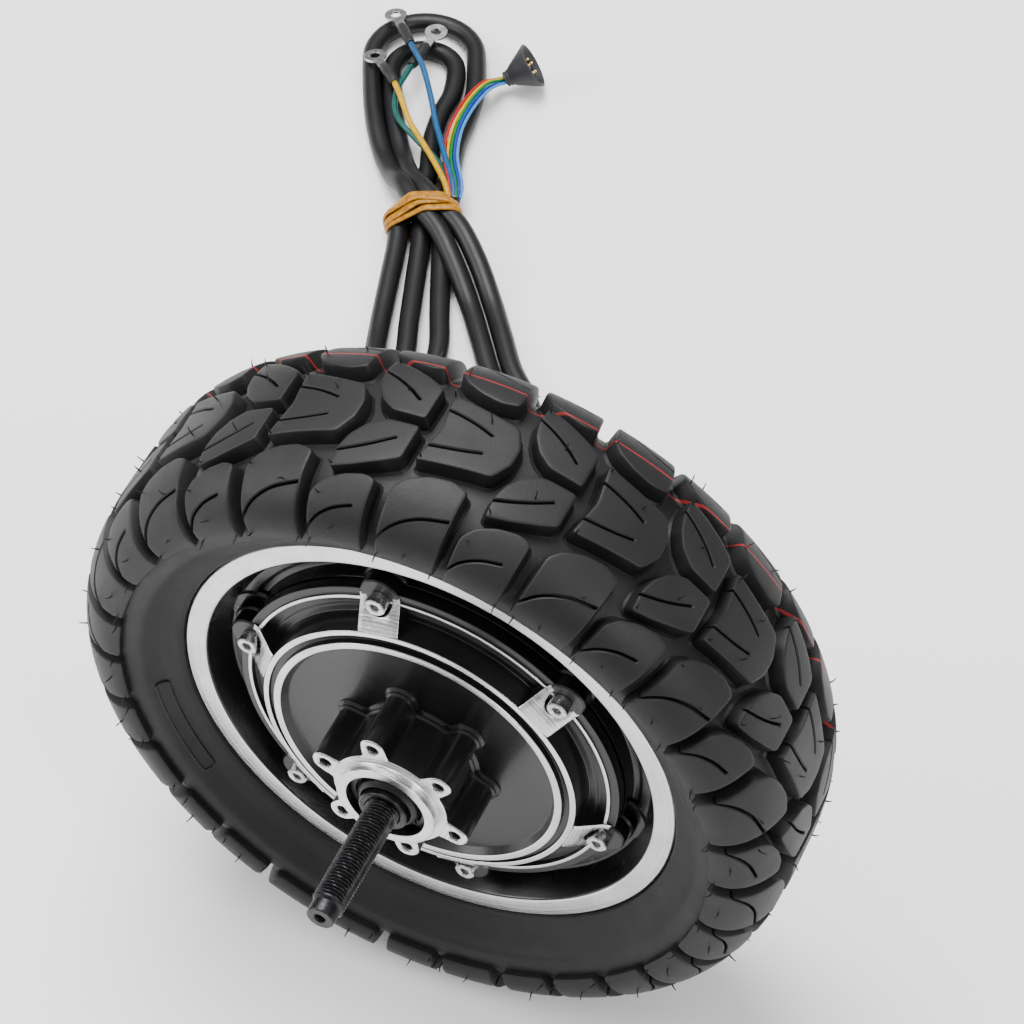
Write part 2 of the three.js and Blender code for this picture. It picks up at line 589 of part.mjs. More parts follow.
function addHallLead(bundle) {
  add('hall_wires', tube(HALL_ROUTE, 2, 8, 18), cableSheath(), bundle);
  const boot = [[4.2, 0], [10.3, 12.5], [9.3, 12.5], [4.8, 4], [0, 4]];
  const plug = [[0, 4.5], [4.4, 4.5], [7.2, 10.2], [0, 10.2]];
  const pose = new THREE.Group();
  pose.position.set(BOOT.across, BOOT.along, BOOT.height);
  const direction = new THREE.Vector3(
    Math.sin(BOOT.turn) * Math.cos(BOOT.tilt),
    Math.cos(BOOT.turn) * Math.cos(BOOT.tilt),
    Math.sin(BOOT.tilt),
  );
  pose.quaternion.setFromUnitVectors(new THREE.Vector3(0, 1, 0), direction);
  bundle.add(pose);
  add('hall_connector_boot', spindle([[0, 0], ...boot], 16), sealRubber(), pose);
  add('hall_connector', spindle(plug, 12), paint(0x2a2a2c, 0.5, 0), pose);
}

addTyre();
addRim();
addValve();
addRotorRingAndMagnets();
addCovers();
addCoverScrews();
addBearing('disc_side_bearing', DISC_BEARING);
addBearing('cable_side_bearing', CABLE_BEARING);
addDiscSeal();
addSleeve('disc_side_circlip', DISC_CIRCLIP, blackSteel());
addSleeve('cable_side_seal', CABLE_SEAL, sealRubber());
addSleeve('axle_spacer', AXLE_SPACER, blackSteel());
addAxleAndKey();
addStator();
addHallBoard();
addCableExit();

const bundle = new THREE.Group();
bundle.position.set(HANK.x, HANK.y, 0);
bundle.rotation.z = HANK.turn;
wheel.add(bundle);
addHank(bundle);
addPhaseWires(bundle);
addHallLead(bundle);

export default wheel;
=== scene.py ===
"""Hub motor wheel: the looks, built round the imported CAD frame. Metres, same frame as the CAD."""
import math

import bmesh
import bpy
import numpy as np
from mathutils import Matrix, Vector
from mathutils.geometry import delaunay_2d_cdt


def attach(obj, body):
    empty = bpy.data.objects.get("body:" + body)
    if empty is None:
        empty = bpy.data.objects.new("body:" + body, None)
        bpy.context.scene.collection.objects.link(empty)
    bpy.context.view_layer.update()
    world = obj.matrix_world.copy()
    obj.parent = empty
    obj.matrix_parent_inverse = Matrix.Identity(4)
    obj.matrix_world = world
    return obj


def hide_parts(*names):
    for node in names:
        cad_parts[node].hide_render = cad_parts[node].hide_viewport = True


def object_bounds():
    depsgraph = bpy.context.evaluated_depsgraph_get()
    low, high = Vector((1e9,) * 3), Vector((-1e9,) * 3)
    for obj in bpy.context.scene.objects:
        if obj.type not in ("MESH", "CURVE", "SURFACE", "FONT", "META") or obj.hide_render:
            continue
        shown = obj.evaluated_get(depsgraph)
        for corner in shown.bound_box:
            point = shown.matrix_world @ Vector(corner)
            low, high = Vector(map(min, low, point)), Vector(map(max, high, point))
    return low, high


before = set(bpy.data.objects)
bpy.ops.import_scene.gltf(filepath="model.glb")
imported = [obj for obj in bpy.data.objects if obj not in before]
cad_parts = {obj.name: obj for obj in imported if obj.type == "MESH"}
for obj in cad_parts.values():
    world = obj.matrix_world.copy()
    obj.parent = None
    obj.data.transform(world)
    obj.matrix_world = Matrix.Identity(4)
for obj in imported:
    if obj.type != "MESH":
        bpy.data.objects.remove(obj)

cad_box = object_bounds()

MM = 0.001
AXLE = "axle_assembly"
ROTOR = "rotor"

# ---------------------------------------------------------------- camera

AZIMUTH = math.radians(24.5)
ELEVATION = math.radians(49.7)
CAMERA_PLACE = Vector((0.301, -0.616, 0.897))


def add_camera():
    data = bpy.data.cameras.new("camera")
    data.lens = 119.5
    data.sensor_width = 36
    data.clip_start = 0.05
    data.clip_end = 20
    camera = bpy.data.objects.new("camera", data)
    forward = Vector((
        -math.sin(AZIMUTH) * math.cos(ELEVATION),
        math.cos(AZIMUTH) * math.cos(ELEVATION),
        -math.sin(ELEVATION),
    ))
    right = Vector((math.cos(AZIMUTH), math.sin(AZIMUTH), 0))
    up = right.cross(forward)
    turn = Matrix((right, up, -forward)).transposed().to_4x4()
    camera.matrix_world = Matrix.Translation(CAMERA_PLACE) @ turn
    bpy.context.collection.objects.link(camera)
    bpy.context.scene.camera = camera


add_camera()

# ---------------------------------------------------------------- material tools


class Tree:
    """A node tree, with short calls for the nodes it uses."""

    def __init__(self, tree, place):
        self.tree = tree
        self.place = self.add("ShaderNodeTexCoord").outputs[place]

    def add(self, kind, **settings):
        node = self.tree.nodes.new(kind)
        for key, value in settings.items():
            setattr(node, key, value)
        return node

    def link(self, source, target):
        self.tree.links.new(source, target)

    def stretch(self, scale):
        mapping = self.add("ShaderNodeMapping")
        mapping.inputs["Scale"].default_value = scale
        self.link(self.place, mapping.inputs["Vector"])
        return mapping.outputs["Vector"]

    def noise(self, scale, detail=4.0, rough=0.55, vector=None):
        node = self.add("ShaderNodeTexNoise")
        node.inputs["Scale"].default_value = scale
        node.inputs["Detail"].default_value = detail
        node.inputs["Roughness"].default_value = rough
        self.link(vector or self.place, node.inputs["Vector"])
        return node.outputs["Fac"]

    def ramp(self, value, stops):
        node = self.add("ShaderNodeValToRGB")
        elements = node.color_ramp.elements
        while len(elements) < len(stops):
            elements.new(0.5)
        for element, (position, color) in zip(elements, stops):
            element.position = position
            element.color = (*color, 1) if len(color) == 3 else color
        self.link(value, node.inputs["Fac"])
        return node.outputs["Color"]

    def span(self, value, low, high, start=0.0, end=1.0):
        node = self.add("ShaderNodeMapRange")
        node.inputs["From Min"].default_value = start
        node.inputs["From Max"].default_value = end
        node.inputs["To Min"].default_value = low
        node.inputs["To Max"].default_value = high
        self.link(value, node.inputs["Value"])
        return node.outputs["Result"]

    def math(self, operation, first, second=None):
        node = self.add("ShaderNodeMath", operation=operation)
        for socket, value in zip(node.inputs, (first, second)):
            if value is None:
                continue
            if isinstance(value, (int, float)):
                socket.default_value = value
            else:
                self.link(value, socket)
        return node.outputs["Value"]

    def mix(self, share, first, second):
        node = self.add("ShaderNodeMix", data_type="RGBA")
        self.link(share, node.inputs["Factor"])
        for socket, value in ((node.inputs[6], first), (node.inputs[7], second)):
            if isinstance(value, tuple):
                socket.default_value = (*value, 1)
            else:
                self.link(value, socket)
        return node.outputs[2]


class Nodes(Tree):
    """A material of its own node tree."""

    def __init__(self, name, roughness=0.5, metallic=0.0):
        self.material = bpy.data.materials.new(name)
        self.material.use_nodes = True
        super().__init__(self.material.node_tree, "Object")
        self.shader = self.tree.nodes["Principled BSDF"]
        self.shader.inputs["Roughness"].default_value = roughness
        self.shader.inputs["Metallic"].default_value = metallic
        self.shader.inputs["Specular IOR Level"].default_value = 0.5 if metallic else 0.3

    def bump(self, height, strength, distance):
        node = self.add("ShaderNodeBump")
        node.inputs["Strength"].default_value = strength
        node.inputs["Distance"].default_value = distance
        self.link(height, node.inputs["Height"])
        self.link(node.outputs["Normal"], self.shader.inputs["Normal"])

    def color(self, value):
        socket = self.shader.inputs["Base Color"]
        if isinstance(value, tuple):
            socket.default_value = (*value, 1)
        else:
            self.link(value, socket)

    def rough(self, value):
        self.link(value, self.shader.inputs["Roughness"])


def sheath_material():
    """Extruded black cable jacket: satin, with a faint mottled surface."""
    n = Nodes("cable_sheath", 0.42)
    grain = n.noise(900, 3)
    patches = n.noise(60, 3)
    n.color(n.ramp(patches, [(0.3, (0.003, 0.003, 0.0035)), (0.75, (0.007, 0.007, 0.008))]))
    n.rough(n.span(n.noise(220, 3), 0.33, 0.5))
    n.bump(grain, 0.12, 0.0004)
    return n.material


def wire_material(name, color):
    """Thin insulated wire: slightly glossy, with small changes of shade."""
    n = Nodes("wire_" + name, 0.35)
    dark = tuple(0.7 * c for c in color)
    n.color(n.ramp(n.noise(400, 3), [(0.3, dark), (0.7, color)]))
    n.rough(n.span(n.noise(700, 2), 0.28, 0.45))
    n.bump(n.noise(1500, 2), 0.08, 0.0003)
    return n.material


def shrink_material():
    """Heat-shrink sleeve: matt black with small wrinkles."""
    n = Nodes("heat_shrink", 0.55)
    n.color(n.ramp(n.noise(300, 3), [(0.3, (0.008, 0.008, 0.009)), (0.8, (0.02, 0.02, 0.022))]))
    n.rough(n.span(n.noise(500, 3), 0.45, 0.62))
    n.bump(n.noise(420, 3), 0.3, 0.0008)
    return n.material


def band_material():
    """Amber elastic: slightly see-through, streaked along its stretch."""
    n = Nodes("amber_elastic", 0.38)
    streaks = n.noise(500, 3)
    shades = [(0.25, (0.16, 0.06, 0.002)), (0.55, (0.34, 0.14, 0.003)), (0.85, (0.48, 0.24, 0.012))]
    n.color(n.ramp(streaks, shades))
    n.shader.inputs["Subsurface Weight"].default_value = 0.12
    n.shader.inputs["Subsurface Radius"].default_value = (0.004, 0.002, 0.0008)
    n.rough(n.span(n.noise(350, 3), 0.3, 0.5))
    n.bump(n.noise(900, 3), 0.25, 0.0005)
    return n.material


def tinned_material():
    """Tin-plated terminal: bright, softly brushed, with darker stains."""
    n = Nodes("tinned_copper", 0.3, 1.0)
    n.color(n.ramp(n.noise(350, 4), [(0.3, (0.3, 0.3, 0.3)), (0.7, (0.62, 0.62, 0.61))]))
    n.rough(n.span(n.noise(900, 3), 0.18, 0.42))
    n.bump(n.noise(700, 3), 0.15, 0.0004)
    return n.material


# ---------------------------------------------------------------- mesh tools


def link_object(name, data):
    piece = bpy.data.objects.new(name, data)
    bpy.context.collection.objects.link(piece)
    return piece


def mesh_object(name, points, faces, materials, smooth=True, face_materials=None):
    mesh = bpy.data.meshes.new(name)
    mesh.from_pydata(points if isinstance(points, list) else points.tolist(), [],
                     faces if isinstance(faces, list) else faces.tolist())
    for material in materials:
        mesh.materials.append(material)
    if face_materials is not None:
        mesh.polygons.foreach_set("material_index", face_materials)
    if smooth:
        mesh.polygons.foreach_set("use_smooth", [True] * len(mesh.polygons))
    mesh.update()
    return link_object(name, mesh)


def cord_object(name, points, diameter, material, resolution=6):
    """A curve of one open spline through points close enough together to be smooth."""
    data = bpy.data.curves.new(name, "CURVE")
    data.dimensions = "3D"
    data.bevel_depth = diameter / 2
    data.bevel_resolution = resolution
    data.use_fill_caps = True
    spline = data.splines.new("POLY")
    spline.points.add(len(points) - 1)
    for place, point in zip(spline.points, points):
        place.co = (*point, 1)
    spline.use_smooth = True
    data.materials.append(material)
    return link_object(name, data)


def smooth_line(points, step=0.0025):
    """A centripetal Catmull-Rom line through the points, stepped evenly."""
    points = [np.array(p, float) for p in points]
    points = [2 * points[0] - points[1]] + points + [2 * points[-1] - points[-2]]
    line = []
    for a, b, c, d in zip(points, points[1:], points[2:], points[3:]):
        t = np.cumsum([0] + [np.linalg.norm(q - p) ** 0.5 for p, q in ((a, b), (b, c), (c, d))])
        count = max(2, int(np.linalg.norm(c - b) / step))
        for s in np.linspace(t[1], t[2], count, endpoint=False):
            ab = (a * (t[1] - s) + b * (s - t[0])) / (t[1] - t[0])
            bc = (b * (t[2] - s) + c * (s - t[1])) / (t[2] - t[1])
            cd = (c * (t[3] - s) + d * (s - t[2])) / (t[3] - t[2])
            left = (ab * (t[2] - s) + bc * (s - t[0])) / (t[2] - t[0])
            right = (bc * (t[3] - s) + cd * (s - t[1])) / (t[3] - t[1])
            line.append((left * (t[2] - s) + right * (s - t[1])) / (t[2] - t[1]))
    line.append(points[-2])
    return np.array(line)


# ---------------------------------------------------------------- the cable and its tied hank

FLOOR = cad_box[0][2]
CABLE = 8.7 * MM
LOW = FLOOR + CABLE / 2 + 0.1 * MM       # centreline of a run that lies on the floor
HIGH = LOW + CABLE                       # of a run that lies on another
TIED_LOW = LOW + 2 * MM                  # runs inside the band, which passes under them
TIED_HIGH = TIED_LOW + 7.6 * MM
TIE = Vector((-0.158, 0.304, 0))         # the hank's frame: across, along and height
TIE_TURN = math.asin(0.4335)


def in_hank(across, along, height):
    """A point of the hank's frame, millimetres across and along, and metres high."""
    c, s = math.cos(TIE_TURN), math.sin(TIE_TURN)
    return (
        TIE.x + (across * c - along * s) * MM,
        TIE.y + (across * s + along * c) * MM,
        height,
    )


def arc(center, radius, start, end, count, height):
    """Points of a round stretch in the hank's frame, angles in degrees."""
    turns = np.radians(np.linspace(start, end, count))
    return [(center[0] + radius * math.cos(t), center[1] + radius * math.sin(t), height) for t in turns]


LEAD_ROUTE = [
    (0, 62, -16.6), (0, 62, -32), (-2, 63, -58), (-6, 68, -88), (-14, 78, -110),
    (-27, 93, -120), (-44, 114, -121.8), (-60, 135, -119.5), (-74, 151.5, -115.5), (-84.6, 165.2, -113.9),
]


def hank_route():
    """The coiled stretch: hub run, inner top loop, outer bottom loop, outer top loop, inner bottom loop."""
    hub_run = [
        (0, -141, HIGH), (-8, -123, HIGH), (-15, -107, HIGH), (-19.5, -94, HIGH - 0.002),
        (-21.5, -80, LOW + 0.002), (-20, -64, LOW), (-16.5, -40, LOW), (-13, -18, LOW + 0.0008),
        (-10.6, 0, TIED_LOW), (-5, 13, LOW + 0.001),
    ]
    inner_top = [
        (0.3, 26, LOW), (2.6, 48, LOW), (6.5, 64, LOW), (11.4, 77, LOW),
        *arc((-0.8, 92), 14.2, 5, 175, 9, LOW),
        (-14.8, 84, LOW), (-14.2, 69, LOW), (-12.6, 53, LOW), (-10, 37, LOW), (-6.6, 22, LOW + 0.0045),
        (-1.5, 10, TIED_HIGH - 0.0005), (4.3, 0, TIED_HIGH), (13.5, -13, TIED_HIGH - 0.0005),
    ]
    outer_bottom = [
        (21, -30, LOW + 0.005), (27, -50, LOW), (31, -70, LOW), (34.5, -88, LOW), (39.5, -102, LOW),
        *arc((11, -115), 31, 5, -185, 13, LOW),
        (-15.5, -98, LOW), (-9.6, -80, LOW), (-7.6, -60, LOW), (-5, -36, LOW), (-2.8, -16, LOW + 0.0008),
        (-1.7, 0, TIED_LOW), (3.5, 10, LOW + 0.0012),
    ]
    outer_top = [
        (8.9, 21, LOW), (13.2, 45, LOW), (18.2, 62, LOW), (21.6, 78, LOW),
        *arc((-0.6, 101.5), 23.2, -5, 185, 12, LOW),
        (-23.6, 86, LOW), (-23, 70, LOW), (-21.2, 53, LOW), (-18.2, 38, LOW), (-14.2, 24, LOW + 0.003),
        (-9.5, 12, TIED_HIGH - 0.001), (-4.5, 0, TIED_HIGH), (4.4, -14, TIED_HIGH - 0.0005),
    ]
    inner_bottom = [
        (11.3, -31, LOW + 0.005), (17.4, -50, LOW), (21.5, -70, LOW), (25, -88, LOW), (28.6, -101, LOW),
        *arc((9.5, -111), 20, 5, -185, 11, LOW),
        (-6.5, -98, LOW), (1.5, -87, LOW), (4.6, -74, LOW), (5, -56, LOW), (5.6, -34, LOW),
        (6.6, -16, LOW + 0.0008), (7.4, -3, TIED_LOW), (9.5, 3, TIED_LOW + 0.0024),
        (10.2, 6, TIED_LOW + 0.004),
    ]
    return [in_hank(*p) for p in hub_run + inner_top + outer_bottom + outer_top + inner_bottom]


def add_cable(material):
    lead = [tuple(c * MM for c in p) for p in LEAD_ROUTE]
    line = smooth_line(lead + hank_route())
    cable = cord_object("cable", line, CABLE, material, 8)
    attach(cable, AXLE)
    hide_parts("cable_lead", "cable_hank")
    length = float(np.linalg.norm(np.diff(line, axis=0), axis=1).sum())
    return cable, lead[0], line[-1], length


# ---------------------------------------------------------------- solid tools, in millimetres


def unit(vectors):
    return vectors / np.linalg.norm(vectors, axis=-1, keepdims=True)


def rounded(outline, radius, steps=3, closed=True):
    """The outline with each corner turned into a small arc."""
    outline = [np.array(p, float) for p in outline]
    result = []
    for i, corner in enumerate(outline):
        if not closed and i in (0, len(outline) - 1):
            result.append(corner)
            continue
        before = outline[i - 1] - corner
        after = outline[(i + 1) % len(outline)] - corner
        cut = min(radius, 0.45 * np.linalg.norm(before), 0.45 * np.linalg.norm(after))
        start = corner + unit(before) * cut
        end = corner + unit(after) * cut
        for t in np.linspace(0, 1, steps + 1):
            result.append((1 - t) ** 2 * start + 2 * t * (1 - t) * corner + t * t * end)
    return np.array(result)


def divided(loop, step):
    """The closed loop with its long sides cut into pieces no longer than step."""
    loop = np.array(loop, float)
    result = []
    for a, b in zip(loop, np.roll(loop, -1, axis=0)):
        count = max(1, math.ceil(np.linalg.norm(b - a) / step))
        result.extend(a + (b - a) * k / count for k in range(count))
    return np.array(result)


def inset(loop, distance):
    """The loop moved to the left of its own direction."""
    ahead = unit(np.roll(loop, -1, axis=0) - loop)
    normal = np.stack([-ahead[:, 1], ahead[:, 0]], axis=1)
    between = unit(normal + np.roll(normal, 1, axis=0))
    reach = np.maximum(0.5, (between * normal).sum(axis=1))
    return loop + between * (distance / reach)[:, None]


def circle(center, radius, count, clockwise=False):
    turns = np.linspace(0, 2 * math.pi, count, endpoint=False)
    if clockwise:
        turns = -turns
    return np.stack([center[0] + radius * np.cos(turns), center[1] + radius * np.sin(turns)], axis=1)


def inside(points, loops):
    """Which points lie inside an odd number of the loops."""
    found = np.zeros(len(points), bool)
    for loop in loops:
        a, b = loop, np.roll(loop, -1, axis=0)
        x, y = points[:, :1], points[:, 1:2]
        spans = (a[:, 1] > y) != (b[:, 1] > y)
        rise = np.where(b[:, 1] == a[:, 1], 1e-12, b[:, 1] - a[:, 1])
        crossing = a[:, 0] + (y - a[:, 1]) * (b[:, 0] - a[:, 0]) / rise
        found ^= (spans & (x < crossing)).sum(axis=1) % 2 == 1
    return found


def distance_to(points, lines):
    """The distance from each point to the nearest of the (start, end) segments."""
    starts, ends = lines
    best = np.full(len(points), 1e9)
    for chunk in np.array_split(np.arange(len(points)), max(1, len(points) // 2000)):
        p = points[chunk][:, None, :]
        along = ends - starts
        t = np.clip(((p - starts) * along).sum(-1) / np.maximum(1e-12, (along ** 2).sum(-1)), 0, 1)
        best[chunk] = np.linalg.norm(p - starts - t[..., None] * along, axis=-1).min(axis=1)
    return best


def triangulated(loops, extra):
    """Triangles over the plane that keep to the loops and use the extra points."""
    points, edges = [], []
    for loop in loops:
        first = len(points)
        points.extend(Vector(p) for p in loop)
        edges.extend((first + i, first + (i + 1) % len(loop)) for i in range(len(loop)))
    points.extend(Vector(p) for p in extra)
    found = delaunay_2d_cdt(points, edges, [], 0, 1e-4)
    return np.array([tuple(v) for v in found[0]]), np.array([tuple(f) for f in found[2]])


def grid_points(loops, spacing, margin):
    """Evenly spread points inside the loops and clear of them."""
    every = np.concatenate(loops)
    low, high = every.min(axis=0), every.max(axis=0)
    x, y = np.meshgrid(np.arange(low[0], high[0], spacing), np.arange(low[1], high[1], spacing))
    x = x + (np.arange(len(x)) % 2)[:, None] * spacing / 2
    points = np.stack([x.ravel(), y.ravel()], axis=1)
    if not len(points):
        return points
    points = points[inside(points, loops)]
    if not len(points):
        return points
    starts = np.concatenate(loops)
    ends = np.concatenate([np.roll(loop, -1, axis=0) for loop in loops])
    return points[distance_to(points, (starts, ends)) > margin]


class Shells:
    """Closed surfaces gathered into one mesh, in millimetres until it is built."""

    def __init__(self):
        self.points, self.faces, self.finishes = [], [], []

    def add(self, points, faces, finish=0):
        first = len(self.points)
        self.points.extend(tuple(p) for p in points)
        self.faces.extend(tuple(first + int(i) for i in face) for face in faces)
        self.finishes.extend([finish] * len(faces) if isinstance(finish, int) else list(finish))

    def build(self, name, materials, body, replaced=(), sharp=38):
        points = np.array(self.points) * MM
        piece = mesh_object(name, points, self.faces, materials, True, self.finishes)
        mesh = piece.data
        work = bmesh.new()
        work.from_mesh(mesh)
        bmesh.ops.remove_doubles(work, verts=work.verts, dist=2e-6)
        bmesh.ops.dissolve_degenerate(work, edges=work.edges, dist=1e-7)
        bmesh.ops.recalc_face_normals(work, faces=work.faces)
        work.to_mesh(mesh)
        work.free()
        mesh.set_sharp_from_angle(angle=math.radians(sharp))
        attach(piece, body)
        if replaced:
            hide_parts(*replaced)
        return piece


def turned(shells, profile, columns=180, finish=None, place=None, closed=True):
    """A solid of revolution about Y from a profile of [radius, y]; finish gives a face's material."""
    profile = np.array(profile, float)
    turns = np.linspace(0, 2 * math.pi, columns, endpoint=False)
    radius, height = profile[:, :1], profile[:, 1:2]
    points = np.stack([
        (radius * np.cos(turns)).ravel(),
        (height * np.ones(columns)).ravel(),
        (radius * np.sin(turns)).ravel(),
    ], axis=1)
    if place is not None:
        matrix = np.array(place)
        points = points @ matrix[:3, :3].T + matrix[:3, 3]
    rows = len(profile)
    faces, finishes = [], []
    for i in range(rows if closed else rows - 1):
        j = (i + 1) % rows
        middle = (profile[i] + profile[j]) / 2
        kind = finish(*middle) if finish else 0
        for k in range(columns):
            m = (k + 1) % columns
            faces.append((i * columns + k, i * columns + m, j * columns + m, j * columns + k))
            finishes.append(kind)
    shells.add(points, faces, finishes)


def slab(shells, loops, top, bottom, place, bevel=0.4, spacing=3.0, finish=0, side_finish=None):
    """A block on a plan outline with holes. The outer loop runs anticlockwise and the holes clockwise.
    top gives the height over each plan point, and place turns plan and height into millimetres."""
    upper = [inset(loop, bevel) for loop in loops]
    side = finish if side_finish is None else side_finish
    for loop, edge in zip(loops, upper):
        n = len(loop)
        rings = [
            place(loop, np.full(n, float(bottom))),
            place(loop, top(loop) - bevel),
            place(edge, top(edge)),
        ]
        faces = [
            (ring * n + k, ring * n + (k + 1) % n, (ring + 1) * n + (k + 1) % n, (ring + 1) * n + k)
            for ring in range(2) for k in range(n)
        ]
        shells.add(np.concatenate(rings), faces, [side] * n + [finish] * n)
    for edge_loops, height, kind in ((upper, top, finish), (loops, None, side)):
        extra = grid_points(edge_loops, spacing, spacing / 2) if height else []
        points, faces = triangulated(edge_loops, extra)
        keep = inside(points[faces].mean(axis=1), edge_loops)
        level = height(points) if height else np.full(len(points), float(bottom))
        shells.add(place(points, level), faces[keep], kind)


def on_side(side, angle=0.0):
    """A place function: plan x and z turned by the angle, and height away from the mid-plane."""
    c, s = math.cos(angle), math.sin(angle)

    def place(plan, height):
        x, z = plan[:, 0], plan[:, 1]
        return np.stack([x * c - z * s, side * height, x * s + z * c], axis=1)

    return place


def level(height):
    return lambda plan: np.full(len(plan), float(height))


def sweep(shells, path, section, finish=0, closed=False, up=(0, 0, 1)):
    """A tube along a path in millimetres, with the ring section(t) of [across, up] at share t of it."""
    path = np.array(path, float)
    count = len(path)
    if closed:
        ahead = unit(np.roll(path, -1, axis=0) - np.roll(path, 1, axis=0))
    else:
        ahead = unit(np.gradient(path, axis=0))
    across = np.cross(ahead, np.array(up, float))
    across = unit(np.where(np.linalg.norm(across, axis=1, keepdims=True) < 1e-6, (1.0, 0, 0), across))
    over = np.cross(across, ahead)
    rings = []
    for i in range(count):
        ring = np.array(section(i / (count - 1)))
        rings.append(path[i] + ring[:, :1] * across[i] + ring[:, 1:2] * over[i])
    n = len(rings[0])
    faces = []
    for i in range(count if closed else count - 1):
        j = (i + 1) % count
        faces.extend((i * n + k, i * n + (k + 1) % n, j * n + (k + 1) % n, j * n + k) for k in range(n))
    if not closed:
        faces.append(tuple(range(n)))
        faces.append(tuple((count - 1) * n + k for k in range(n)))
    shells.add(np.concatenate(rings), faces, finish)


# ---------------------------------------------------------------- wires, terminals and the tie

WIRE_ROUTES = {
    "yellow": [
        (9.2, 5.5, -116.2), (8.2, 12, -114.6), (4.5, 24, -114.8), (-1, 38, -115), (-7, 52, -114.6),
        (-11.5, 68, -112.8), (-15, 79, -112.8), (-18.5, 87.5, -114.4),
    ],
    "green": [
        (10.2, 5.5, -117.4), (9.6, 12, -116.6), (5.6, 28, -117), (-5, 44, -116.6), (-12.6, 57, -116),
        (-12.8, 72, -115.8), (-8, 84, -115.2), (0.5, 101, -115),
    ],
    "blue": [
        (11.4, 5.5, -116.2), (11.4, 12, -114.6), (8.5, 28, -114.8), (4.5, 50, -114.8), (1.5, 70, -112.5),
        (-1.5, 84, -110.9), (-5.5, 95, -110.6), (-10.5, 112, -113.2),
    ],
}
WIRE_COLORS = {"yellow": (0.52, 0.3, 0.0), "green": (0.003, 0.075, 0.065), "blue": (0.006, 0.075, 0.2)}
PHASE_WIRE = 2.6
HALL_ROUTE = [
    (12.6, 5.5, -115.8), (12.4, 14, -114.6), (10.6, 30, -115.4), (12.8, 48, -115.8), (17.5, 61, -115.6),
    (22, 69.5, -115.6), (26.4, 75.6, -116), (28.6, 78, -116.8), (30.6, 80.3, -118.2), (32.6, 82.4, -119.8),
    (34.8, 83.7, -120.3),
]
HALL_WIRE = 1.3
HALL_COLORS = {
    "red": (0.4, 0.006, 0.005), "yellow": (0.6, 0.36, 0.004), "green": (0.005, 0.17, 0.025),
    "blue": (0.006, 0.04, 0.3), "light_blue": (0.05, 0.22, 0.55),
}
BOOT_PLACE = (36.4, 84, -119.5)
BOOT_TURN, BOOT_TILT = 1.431, 0.5


def from_hank(point):
    """A point of the hank's frame, all in millimetres, as row millimetres."""
    place = in_hank(point[0], point[1], point[2] * MM)
    return np.array(place) / MM


def add_phase_wire(color, metal, sleeve):
    route = [from_hank(p) for p in WIRE_ROUTES[color]]
    line = smooth_line(route, 1.5)
    ahead = unit(line[-1] - line[-4])
    material = wire_material(color, WIRE_COLORS[color])
    wire = cord_object("wire_" + color, line[:-1] * MM, PHASE_WIRE * MM, material, 4)
    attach(wire, AXLE)
    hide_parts("phase_wire_" + color)

    shells = Shells()
    tail = line[-10:]
    turns = np.linspace(0, 2 * math.pi, 20, endpoint=False)

    def sleeve_ring(t):
        radius = 2.15 + 0.1 * math.sin(9 * t) - (0.35 if t < 0.02 or t > 0.98 else 0)
        radius += 0.35 * math.exp(-((t - 0.62) / 0.2) ** 2)
        return np.stack([radius * np.cos(turns), radius * np.sin(turns)], axis=1)

    sweep(shells, tail, sleeve_ring)
    shrink = shells.build("shrink_" + color, [sleeve], AXLE, ["heat_shrink_" + color])

    aside = unit(np.cross(ahead, (0, 0, 1)))
    above = np.cross(aside, ahead)
    start = line[-1]

    def place(plan, height):
        return start + plan[:, :1] * ahead + plan[:, 1:2] * aside + height[:, None] * above

    turn = math.pi - math.asin(2 / 5)
    around_ring = [(9.5 + 5 * math.cos(t), 5 * math.sin(t)) for t in np.linspace(-turn, turn, 40)]
    outline = np.array([(-1.5, -2.0)] + around_ring + [(-1.5, 2.0)])
    hole = circle((9.5, 0), 2.2, 28, clockwise=True)
    shells = Shells()
    slab(shells, [outline, hole], level(0.5), -0.5, place, bevel=0.15, spacing=2)
    terminal = shells.build("terminal_" + color, [metal], AXLE, ["ring_terminal_" + color])


def boot_direction():
    flat = math.cos(BOOT_TILT)
    ahead = (math.sin(BOOT_TURN) * flat, math.cos(BOOT_TURN) * flat, math.sin(BOOT_TILT))
    return unit(from_hank(ahead) - from_hank((0, 0, 0)))


